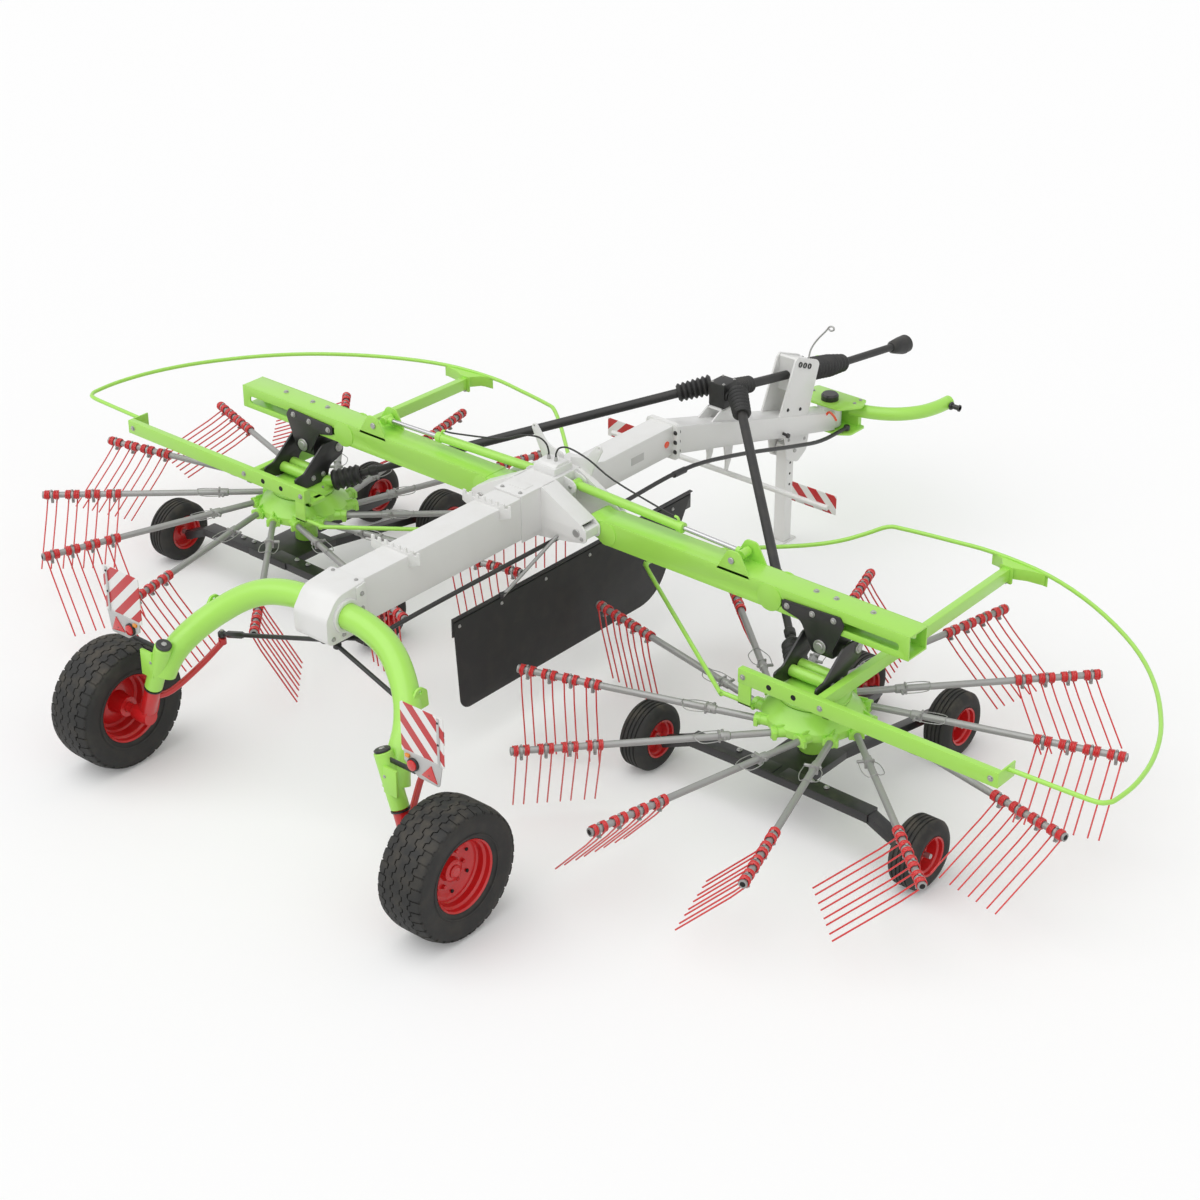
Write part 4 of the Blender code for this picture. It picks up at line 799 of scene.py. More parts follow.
class Former:
    """Gathers shapes and their finishes into one finished piece."""

    def __init__(self, shop: "Workshop", name: str) -> None:
        """Start an empty piece.

        Args:
            shop: The workshop, with its materials and trees.
            name: The piece's name.
        """
        self.shop, self.name = shop, name
        self.bm = bmesh.new()
        self.finishes: list[Finish] = []

    def add(self, finish: Finish, *meshes: bpy.types.Mesh) -> "Former":
        """Add shapes in one finish.

        Args:
            finish: Their finish.
            meshes: The shapes, which are used up.

        Returns:
            This former.
        """
        if finish not in self.finishes:
            self.finishes.append(finish)
        index = self.finishes.index(finish)
        for mesh in meshes:
            before = len(self.bm.faces)
            self.bm.from_mesh(mesh)
            self.bm.faces.ensure_lookup_table()
            for face in self.bm.faces[before:]:
                face.material_index = index
            bpy.data.meshes.remove(mesh)
        return self

    def ring(self, finish: Finish, unit: bpy.types.Mesh, count: int, centre: Sequence[float],
             axis: Sequence[float]) -> "Former":
        """Add copies of a shape turned round an axis.

        Args:
            finish: Their finish.
            unit: The first copy, in place; it is used up.
            count: How many copies there are.
            centre: A point on the axis.
            axis: The axis' direction.

        Returns:
            This former.
        """
        unit.transform(Matrix.Translation(-Vector(centre)))
        made = Trees.run(unit, self.shop.trees.ring, {
            "Finish": self.shop.bench.material(finish), "Count": count, "Axis": tuple(axis)})
        made.transform(Matrix.Translation(Vector(centre)))
        return self.add(finish, made)

    def bolts(self, at: Sequence[tuple[Sequence[float], Sequence[float], float]],
              finish: Finish = Finish.BOLT) -> "Former":
        """Add hexagon bolts with their washers.

        Args:
            at: Each bolt's place, the way it faces and its head's radius.
            finish: Their finish.

        Returns:
            This former.
        """
        spots = [(Vector(p), Vector(way).normalized().to_track_quat("Z", "Y").to_matrix(), r) for p, way, r in at]
        made = Trees.run(places(spots), self.shop.trees.placed, {
            "Finish": self.shop.bench.material(finish), "Size": 1.0, "Unit": self.shop.bolt})
        return self.add(finish, made)

    def piece(self, body: str | None, slot: str | None = None, nodes: Sequence[str] = ()) -> bpy.types.Object:
        """Make the object, put it in the row frame and let it ride on its body.

        Args:
            body: The CAD body that it rides on, or None for a piece that rides on no body.
            slot: Not used.
            nodes: CAD nodes that it stands for.

        Returns:
            The finished object.
        """
        mesh = bpy.data.meshes.new(self.name)
        bmesh.ops.translate(self.bm, vec=(0, AXLE_TO_ROW, 0), verts=self.bm.verts)
        self.bm.to_mesh(mesh)
        self.bm.free()
        for finish in self.finishes:
            mesh.materials.append(self.shop.bench.material(finish))
        mesh.shade_smooth()
        mesh.set_sharp_from_angle(angle=math.radians(32))
        obj = bpy.data.objects.new(self.name, mesh)
        bpy.context.scene.collection.objects.link(obj)
        if body:
            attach(obj, body)
        if nodes:
            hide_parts(*nodes)
        LOG.info("%s: %d faces on %s", self.name, len(mesh.polygons), body)
        return obj


class Workshop:
    """What every sub-assembly needs: materials, trees and the bolt that is copied."""

    def __init__(self) -> None:
        """Set up the benches."""
        self.bench = ShaderBench()
        self.trees = Trees()
        head = turned([(0.0, 1.0), (0.55, 1.0), (0.70, 0.86)], (0, 0, 0.22), (0, 0, 1), 6)
        washer = turned([(0.0, 1.42), (0.16, 1.42), (0.24, 1.34)], (0, 0, 0), (0, 0, 1), 16)
        bm = bmesh.new()
        bm.from_mesh(head)
        bm.from_mesh(washer)
        self.bolt = bpy.data.objects.new("bolt_unit", mesh_of(bm))

    def former(self, name: str) -> Former:
        """A new, empty piece."""
        return Former(self, name)

    def close(self) -> None:
        """Remove the copied bolt once no tree needs it."""
        bpy.data.objects.remove(self.bolt, do_unlink=True)


# ---------------------------------------------------------------- rotors
@dataclass
class Rotor:
    """Turning dish with its sleeves, tine arms and sprung double tines."""

    shop: Workshop
    side: str
    sign: float
    x: float = 2.0368
    y: float = 2.2231
    arm_z: float = 0.581
    arm_r: float = 0.020
    tip_reach: float = 1.7364
    sleeve_reach: float = 0.337
    sleeve_r: float = 0.033
    arms: int = 12
    first_arm: float = 0.941
    skew: float = 0.469
    swings: tuple[float, ...] = (-70, -63, -56, -54, -42, -38, -24, -2, -9, -20, -31, -54)
    tine_places: tuple[float, ...] = (0.032, 0.0925, 0.169, 0.226, 0.300, 0.360, 0.437, 0.4975)
    upper_leg: float = 0.14
    lower_leg: float = 0.405

    def arm(self, index: int) -> tuple[Vector, Vector, Vector, Vector]:
        """Tip, sleeve end, outward direction and direction of turning of one arm."""
        angle = self.first_arm - 2 * math.pi * index / self.arms
        lead = angle + self.skew
        tip = Vector((self.x + self.tip_reach * math.cos(angle), self.y + self.tip_reach * math.sin(angle),
                      self.arm_z))
        sleeve = Vector((self.x + self.sleeve_reach * math.cos(lead), self.y + self.sleeve_reach * math.sin(lead),
                         self.arm_z))
        outward = (tip - sleeve).normalized()
        turning = Vector((0, 0, 1)).cross(outward)
        mirror = Matrix.Diagonal((self.sign, 1, 1))
        return mirror @ tip, mirror @ sleeve, mirror @ outward, mirror @ turning

    def build(self) -> None:
        """Make the rotor as one piece on its own body."""
        former = self.shop.former(f"rotor_works_{self.side}")
        centre = (self.sign * self.x, self.y, 0.0)
        axis = (0.0, 0.0, 1.0)
        former.add(Finish.LIME, revolve(
            [(0.0765, 0.545), (0.270, 0.545), (0.288, 0.556), (0.296, 0.580), (0.292, 0.606), (0.262, 0.640),
             (0.226, 0.664), (0.214, 0.682), (0.205, 0.694), (0.0765, 0.694)], (*centre[:2], 0.0), axis, 60))
        tip, sleeve, out, turning = self.arm(0)
        up = Vector((0, 0, 1))
        former.ring(Finish.LIME, turned(
            [(0, 0.036), (0.02, 0.034), (0.100, 0.031), (0.106, 0.035), (0.113, 0.036), (0.137, 0.036), (0.140, 0.034)],
            sleeve - out * 0.140, sleeve, 18), self.arms, centre, axis)
        for side in (1, -1):
            ear = sleeve - out * 0.016 + turning * 0.034 * side - up * 0.006
            former.ring(Finish.LIME, beam(ear - out * 0.012, ear + out * 0.012, 0.020, 0.045, 0.003),
                        self.arms, centre, axis)
        web = sleeve - out * 0.11 + up * 0.030
        former.ring(Finish.LIME, beam(web - out * 0.06, web + out * 0.085, 0.012, 0.030, 0.004),
                    self.arms, centre, axis)
        # A small near-black disc of painted hole shade in each arm's web.
        former.ring(Finish.DARK, rod(sleeve - out * 0.045 + up * 0.030, sleeve - out * 0.045 + up * 0.0368, 0.005, 8,
                                     0.0005), self.arms, centre, axis)
        self._arm_tubes(former, centre, axis)
        self._tines(former)
        former.piece(f"rotor_{self.side}", "red", [f"rotor_{self.side}"])

    def _arm_tubes(self, former: Former, centre: Point, axis: Point) -> None:
        """Galvanised tubes with their joint collars, clips and clamps, and painted shade discs in their open ends.

        Args:
            former: The rotor's former.
            centre: A point on the rotor's axis.
            axis: The rotor's axis.
        """
        tip, sleeve, out, turning = self.arm(0)
        up = Vector((0, 0, 1))

        def ring(finish: Finish, mesh: bpy.types.Mesh) -> None:
            """Put a part of the first arm on every arm."""
            former.ring(finish, mesh, self.arms, centre, axis)

        joint = sleeve + out * 0.26
        ring(Finish.ZINC, rod(sleeve - out * 0.10, tip - out * 0.004, self.arm_r, 20, 0.002))
        ring(Finish.ZINC, turned([(0, 0.0205), (0.006, 0.0255), (0.030, 0.0265), (0.062, 0.0265), (0.070, 0.0215)],
                                 joint - out * 0.035, joint, 18))
        ring(Finish.ZINC, rod(joint - turning * 0.062, joint + turning * 0.036, 0.0095, 12, 0.002))
        ring(Finish.ZINC, beam(joint + out * 0.028 - turning * 0.026, joint + out * 0.028 + turning * 0.026,
                               0.012, 0.056, 0.003))
        clip = smooth([joint + turning * 0.030 + out * 0.01, joint + turning * 0.055 + out * 0.05,
                       joint + turning * 0.060 + out * 0.13, joint + turning * 0.030 + out * 0.165 + up * 0.012,
                       joint + out * 0.17 + up * 0.0225, joint - turning * 0.035 + out * 0.16,
                       joint - turning * 0.058 + out * 0.10, joint - turning * 0.058 + out * 0.01], 4)
        ring(Finish.ZINC, sweep(clip, 0.0028, 6))
        for near, far in zip(self.tine_places[::2], self.tine_places[1::2]):
            spot = tip - out * (near + far) / 2
            ring(Finish.ZINC, turned([(0, 0.0235), (0.003, 0.0265), (0.017, 0.0265), (0.020, 0.0235)],
                                     spot - out * 0.010, spot, 16))
            ring(Finish.ZINC, beam(spot - up * 0.040 - out * 0.009, spot - up * 0.040 + out * 0.009,
                                   0.020, 0.034, 0.003))
            ring(Finish.ZINC, rod(spot - up * 0.046 - turning * 0.018, spot - up * 0.046 + turning * 0.018,
                                  0.0075, 6, 0.001))
            ring(Finish.ZINC, rod(spot + up * 0.022, spot + up * 0.036, 0.0085, 6, 0.002))
        ring(Finish.ZINC, turned([(0, 0.0235), (0.004, 0.0245), (0.012, 0.0245), (0.013, 0.0205)],
                                 tip - out * 0.014, tip, 18))
        # Painted shade: a near-black disc in each tube's open end.
        ring(Finish.DARK, rod(tip - out * 0.010, tip, 0.0165, 18, 0.002))

    def _tines(self, former: Former) -> None:
        """Sprung tines, swung arm by arm as the cam sets them.

        Args:
            former: The rotor's former.
        """
        knee_lean, tip_lean = math.radians(10.8), math.radians(-4.2)
        knee = (self.upper_leg * math.sin(knee_lean), -self.upper_leg * math.cos(knee_lean))
        end = (knee[0] + self.lower_leg * math.sin(tip_lean), knee[1] - self.lower_leg * math.cos(tip_lean))
        spots = []
        for index in range(self.arms):
            tip, _, out, turning = self.arm(index)
            up = Vector((0, 0, 1))
            across = turning.cross(up)
            stand = Matrix((across, turning, up)).transposed()
            swing = Matrix.Rotation(math.radians(self.swings[index]), 3, "X")
            spots += [(tip - out * place, stand @ swing, 1.0) for place in self.tine_places]
        former.add(Finish.SPRING, Trees.run(places(spots), self.shop.trees.tines, {
            "Finish": self.shop.bench.material(Finish.SPRING), "Wire": 0.0048, "Coil Radius": 0.0275,
            "Coil Turns": 3.4, "Coil Width": 0.030, "Knee Y": knee[0], "Knee Z": knee[1],
            "Tip Y": end[0], "Tip Z": end[1]}))


# ---------------------------------------------------------------- wheels
@dataclass
class RearWheel:
    """Implement tyre with its zigzag ribs, on a deep red rim."""

    shop: Workshop
    side: str
    sign: float
    track: float = 2.6088
    radius: float = 0.3825
    half: float = 0.155
    rim_r: float = 0.2105
    pitches: int = 34
    grooves: tuple[float, ...] = (-0.088, -0.032, 0.032, 0.088)

    def build(self) -> None:
        """Make the tyre and its rim, and put them on the wheel's body."""
        centre = Vector((self.sign * self.track / 2, 0.0, self.radius))
        axis = (self.sign, 0.0, 0.0)
        tyre = self.shop.former(f"tyre_works_{self.side}")
        tyre.add(Finish.RUBBER, revolve(
            [(self.rim_r + 0.0005, -0.128), (0.222, -0.136), (0.250, -0.143), (0.290, -0.152), (0.318, -0.1545),
             (0.344, -0.150), (0.358, -0.139), (0.367, -0.120), (0.3705, -0.10), (0.3705, 0.10), (0.367, 0.120),
             (0.358, 0.139), (0.344, 0.150), (0.318, 0.1545), (0.290, 0.152), (0.250, 0.143), (0.222, 0.136),
             (self.rim_r + 0.0005, 0.128)], centre, axis, 72))
        for at in (-0.145, 0.145):
            tyre.add(Finish.RUBBER, revolve([(0.234, at - 0.001), (0.240, at * 1.012), (0.246, at - 0.001)],
                                            centre, axis, 72))
        self._tread(tyre, centre, axis)
        tyre.piece(f"wheel_{self.side}", "rubber", [f"tyre_{self.side}"])
        rim = self.shop.former(f"rim_works_{self.side}")
        rim.add(Finish.RED, revolve(
            [(0.031, -0.100), (0.060, -0.100), (0.064, -0.020), (0.070, 0.002), (0.120, 0.006), (0.150, 0.026),
             (0.168, 0.022), (0.172, -0.020), (0.184, -0.026), (0.186, -0.085), (0.198, -0.096), (0.200, -0.122),
             (0.2095, -0.130), (0.2095, 0.130), (0.200, 0.122), (0.198, 0.096), (0.186, 0.086), (0.184, 0.052),
             (0.176, 0.044), (0.160, 0.044), (0.148, 0.038), (0.118, 0.018), (0.070, 0.016), (0.064, 0.030),
             (0.062, 0.050), (0.052, 0.056), (0.031, 0.056)], centre, axis, 64))
        rim.ring(Finish.RED, turned([(0, 0.012), (0.004, 0.012), (0.016, 0.011), (0.018, 0.008)],
                                    centre + Vector((self.sign * 0.016, 0.100, 0)),
                                    centre + Vector((self.sign * 0.034, 0.100, 0)), 6), 6, centre, axis)
        # Near-black discs of painted shade stand for the holes in the rim's disc.
        rim.ring(Finish.DARK, rod(centre + Vector((self.sign * 0.030, 0, 0.135)),
                                  centre + Vector((self.sign * 0.0375, 0, 0.135)), 0.010, 12, 0.001), 6, centre, axis)
        rim.add(Finish.RED, turned([(0, 0.040), (0.020, 0.038), (0.028, 0.026)],
                                   centre + Vector((self.sign * 0.044, 0, 0)),
                                   centre + Vector((self.sign * 0.09, 0, 0)), 20))
        rim.piece(f"wheel_{self.side}", "red", [f"rim_{self.side}"])

    def _tread(self, tyre: Former, centre: Vector, axis: Point) -> None:
        """Zigzag ribs in the middle and shoulder blocks with their sipes at the sides.

        Args:
            tyre: The tyre's former.
            centre: The wheel's centre.
            axis: The wheel's axis.
        """
        step = 2 * math.pi / self.pitches

        def spot(angle: float, across: float, radius: float) -> Vector:
            """A point of the tread, from its angle, its place across and its radius."""
            return centre + Vector((self.sign * across, -math.sin(angle) * radius, math.cos(angle) * radius))

        def crown(across: float) -> float:
            """The tread's outer radius at a place across it."""
            return self.radius - 0.0005 - 0.020 * max(0.0, (abs(across) - 0.06) / 0.09) ** 2

        def patch(edges: Sequence[tuple[float, float, float]], floor: float = 0.014) -> bpy.types.Mesh:
            """A raised band from (angle, low edge, high edge) stations."""
            bm, rows = bmesh.new(), []
            for angle, low, high in edges:
                inner = [bm.verts.new(spot(angle, a, crown(a) - floor)) for a in (low, high)]
                outer = [bm.verts.new(spot(angle, a, crown(a) - e)) for a, e in
                         ((low, 0.0025), (low + 0.003, 0.0), (high - 0.003, 0.0), (high, 0.0025))]
                rows.append([inner[0], *outer, inner[1]])
            for here, there in zip(rows, rows[1:]):
                for k in range(5):
                    bm.faces.new((here[k], here[k + 1], there[k + 1], there[k]))
                bm.faces.new((here[5], here[0], there[0], there[5]))
            bm.faces.new(rows[0][::-1])
            bm.faces.new(rows[-1])
            return mesh_of(bm)

        gap, swing = 0.0055, 0.009
        bands = list(zip(self.grooves, self.grooves[1:]))
        for low, high in bands:
            tyre.ring(Finish.RUBBER, patch([
                (0.0, low + gap / 2 + swing, high - gap / 2 + swing),
                (step * 0.38, low + gap / 2 + swing * 0.9, high - gap / 2 + swing * 0.9),
                (step * 0.52, low + gap / 2 - swing, high - gap / 2 - swing),
                (step * 0.88, low + gap / 2 - swing * 0.9, high - gap / 2 - swing * 0.9),
                (step, low + gap / 2 + swing, high - gap / 2 + swing)]), self.pitches, centre, axis)
        for side in (-1, 1):
            inner = side * (self.grooves[-1] + gap / 2)
            outer = side * 0.142
            low, high = sorted((inner, outer))
            shift = swing if side < 0 else -swing
            stations = [(step * 0.05, 0.6), (step * 0.40, 1.0), (step * 0.52, -0.9), (step * 0.93, -0.9)]
            block = [(angle, low + (swing * k if side > 0 else 0), high + (swing * k if side < 0 else 0))
                     for angle, k in stations]
            tyre.ring(Finish.RUBBER, patch(block, 0.018 + abs(shift) * 0), self.pitches, centre, axis)
            lug = [(step * 0.10, side * 0.136, side * 0.1465), (step * 0.72, side * 0.136, side * 0.1465)]
            lug = [(a, *sorted((b, c))) for a, b, c in lug]
            tyre.ring(Finish.RUBBER, patch(lug, 0.030), self.pitches, centre, axis)


@dataclass
class CarriageWheel:
    """A rotor's small wheel: grooved tyre and deep red rim, as one body."""

    shop: Workshop
    side: str
    sign: float
    name: str
    dx: float
    dy: float
    radius: float = 0.205
    half: float = 0.090

    def build(self) -> None:
        """Make the wheel as one piece."""
        centre = Vector((self.sign * (2.0368 + self.dx), 2.2231 + self.dy, self.radius))
        axis = (self.sign if self.dx > 0 else -self.sign, 0.0, 0.0)
        r = self.radius
        wheel = self.shop.former(f"small_wheel_{self.name}_{self.side}")
        crown = [(0.186, -0.076), (0.197, -0.066), (r - 0.0015, -0.056)]
        for at in (-0.040, -0.013, 0.013, 0.040):
            crown += [(r - 0.0005, at - 0.006), (r - 0.008, at - 0.003), (r - 0.008, at + 0.003), (r - 0.0005, at + 0.006)]
        crown += [(r - 0.0015, 0.056), (0.197, 0.066), (0.186, 0.076)]
        wheel.add(Finish.RUBBER, revolve(
            [(0.112, -0.074), (0.120, -0.079), (0.132, -0.083), (0.150, -0.088), (0.170, -0.086), *crown,
             (0.170, 0.086), (0.150, 0.088), (0.132, 0.083), (0.120, 0.079), (0.112, 0.074)], centre, axis, 56))
        wheel.add(Finish.RED, revolve(
            [(0.0168, -0.050), (0.030, -0.050), (0.034, -0.028), (0.082, -0.022), (0.094, -0.052), (0.104, -0.058),
             (0.107, -0.078), (0.1165, -0.082), (0.1165, 0.082), (0.107, 0.078), (0.104, 0.058), (0.094, 0.050),
             (0.084, -0.002), (0.076, -0.008), (0.036, -0.008), (0.032, 0.006), (0.026, 0.030), (0.0168, 0.030)],
            centre, axis, 48))
        wheel.ring(Finish.RED, turned([(0, 0.0065), (0.008, 0.006), (0.010, 0.004)],
                                      centre + Vector(axis) * -0.009 + Vector((0, 0.056, 0)),
                                      centre + Vector(axis) * 0.010 + Vector((0, 0.056, 0)), 6), 5, centre, axis)
        wheel.piece(f"rotor_wheel_{self.name}_{self.side}", "rubber", [f"rotor_wheel_{self.name}_{self.side}"])


SMALL_WHEELS: tuple[tuple[str, float, float], ...] = (
    ("front_outer", 0.335, 0.94), ("front_inner", -0.335, 0.94), ("rear_outer", 0.93, -0.30),
    ("rear_inner", -0.93, -0.30))


# ---------------------------------------------------------------- rear axle and steering
@dataclass
class RearAxle:
    """Arched axle tube, kingpin sleeves and the clamp that holds it to the beam."""

    shop: Workshop
    route: tuple[Point, ...] = ((0.0, 0.495, 1.250), (0.16, 0.495, 1.250), (0.30, 0.490, 1.238), (0.46, 0.462, 1.205),
                                (0.60, 0.410, 1.140), (0.73, 0.330, 1.040), (0.82, 0.235, 0.945),
                                (0.868, 0.140, 0.860), (0.892, 0.075, 0.780), (0.915, 0.045, 0.700))
    king_top: Point = (0.855, 0.015, 0.905)
    king_foot: Point = (0.970, 0.010, 0.605)
    tube_r: float = 0.075

    def on_king(self, sign: float, t: float) -> Vector:
        """A point on a kingpin's axis: 0 at the sleeve's top, 1 at its foot."""
        return Vector(mirrored(sign, [a + (b - a) * t for a, b in zip(self.king_top, self.king_foot)]))

    def build(self) -> None:
        """Make the arch, the clamp and both knuckles."""
        arch = self.shop.former("axle_arch_works")
        left = [mirrored(-1, p) for p in reversed(self.route[1:])]
        arch.add(Finish.LIME, sweep(smooth([*left, *self.route], 4), self.tube_r, 28))
        for _, s in SIDES:
            top, foot = self.on_king(s, 0), self.on_king(s, 1)
            arch.add(Finish.LIME, turned([(0, 0.046), (0.004, 0.052), (0.318, 0.052), (0.322, 0.046)], top, foot, 26))
            arch.add(Finish.LIME, box((s * 0.905, s * 1.0), (-0.040, -0.020), (0.70, 0.86), 0.004))
            lug = rounded([(0.30, 0.98, 0.01), (0.42, 0.98, 0.01), (0.41, 1.08, 0.03), (0.375, 1.110, 0.03),
                           (0.335, 1.110, 0.03), (0.305, 1.07, 0.03)])
            arch.add(Finish.LIME, plate(lug, 0.014, "x", s * 0.80, [circle((0.358, 1.083), 0.013, 14)]))
        arch.bolts([(self.on_king(s, 0.35) + Vector((s * 0.02, -0.052, 0.0)), (0, -1, 0), 0.007) for _, s in SIDES])
        arch.piece("frame", "lime_green", ["axle_arch"])
        self._clamp()
        for side, s in SIDES:
            self._knuckle(side, s)

    def _clamp(self) -> None:
        """The cast housing on the beam's end, its side bolts, cable box and reflectors."""
        clamp = self.shop.former("arch_clamp_works")
        side = rounded([(0.345, 1.105, 0.05), (0.654, 1.105, 0.01), (0.654, 1.408, 0.012), (0.43, 1.386, 0.12),
                        (0.345, 1.27, 0.07)], 6)
        clamp.add(Finish.PALE, plate(side, 0.26, "x", 0.0, ease=0.008))
        for s in (1, -1):
            clamp.add(Finish.PALE, revolve([(0.0765, 0.0), (0.094, 0.0), (0.098, 0.004), (0.098, 0.022), (0.092, 0.026),
                                            (0.0765, 0.026)], (s * 0.118, 0.495, 1.250), (s, 0, 0), 32))
            frame = rounded([(0.575, 1.115, 0.01), (0.648, 1.115, 0.01), (0.648, 1.400, 0.01), (0.575, 1.388, 0.01)])
            clamp.add(Finish.PALE, plate(frame, 0.008, "x", s * 0.1335))
        clamp.bolts([((s * 0.1375, 0.612, z), (s, 0, 0), 0.0105) for s in (1, -1) for z in (1.16, 1.25, 1.34)]
                    + [((s * 0.130, y, 1.145), (s, 0, 0), 0.0105) for s in (1, -1) for y in (0.39, 0.47, 0.53)]
                    + [((x, 0.62, 1.405), (0, 0, 1), 0.009) for x in (-0.09, 0.09)])
        clamp.add(Finish.ORANGE, rod((0.131, 0.545, 1.180), (0.137, 0.545, 1.180), 0.022, 20, 0.002))
        clamp.piece("frame", "light_grey", ["arch_clamp"])

    def _knuckle(self, side: str, s: float) -> None:
        """Kingpin, leg, stub axle and steering arm of a rear wheel.

        Args:
            side: The side's name.
            s: The side's sign.
        """
        knuckle = self.shop.former(f"knuckle_works_{side}")
        king = self.on_king
        knuckle.add(Finish.RED, rod(king(s, -0.02), king(s, 1.1), 0.033, 20),
                    turned([(0, 0.040), (0.004, 0.046), (0.18, 0.050), (0.196, 0.042)], king(s, 1.012), king(s, 1.62), 22),
                    turned([(0, 0.046), (0.06, 0.052), (0.125, 0.047), (0.135, 0.040)], (s * 1.01, 0, 0.3825),
                           (s * 1.15, 0, 0.3825), 22),
                    rod((s * 1.14, 0, 0.3825), (s * 1.340, 0, 0.3825), 0.0295, 20),
                    sweep(smooth([mirrored(s, p) for p in ((1.00, 0.02, 0.520), (0.95, 0.12, 0.535),
                                                           (0.88, 0.28, 0.65), (0.855, 0.443, 0.748))], 4), 0.019, 12),
                    rod((s * 0.855, 0.443, 0.735), (s * 0.855, 0.443, 0.777), 0.024, 18))
        knuckle.add(Finish.BLACK, turned([(0, 0.040), (0.004, 0.046), (0.012, 0.046), (0.016, 0.038)],
                                         king(s, -0.055), king(s, -0.01), 22),
                    revolve([(0.040, -0.004), (0.054, -0.004), (0.054, 0.004), (0.040, 0.004)], king(s, 1.03),
                            king(s, 1) - king(s, 0), 24))
        knuckle.add(Finish.BOLT, rod(king(s, -0.068), king(s, -0.05), 0.017, 6, 0.003))
        knuckle.piece(f"knuckle_{side}", "red", [f"knuckle_{side}"])


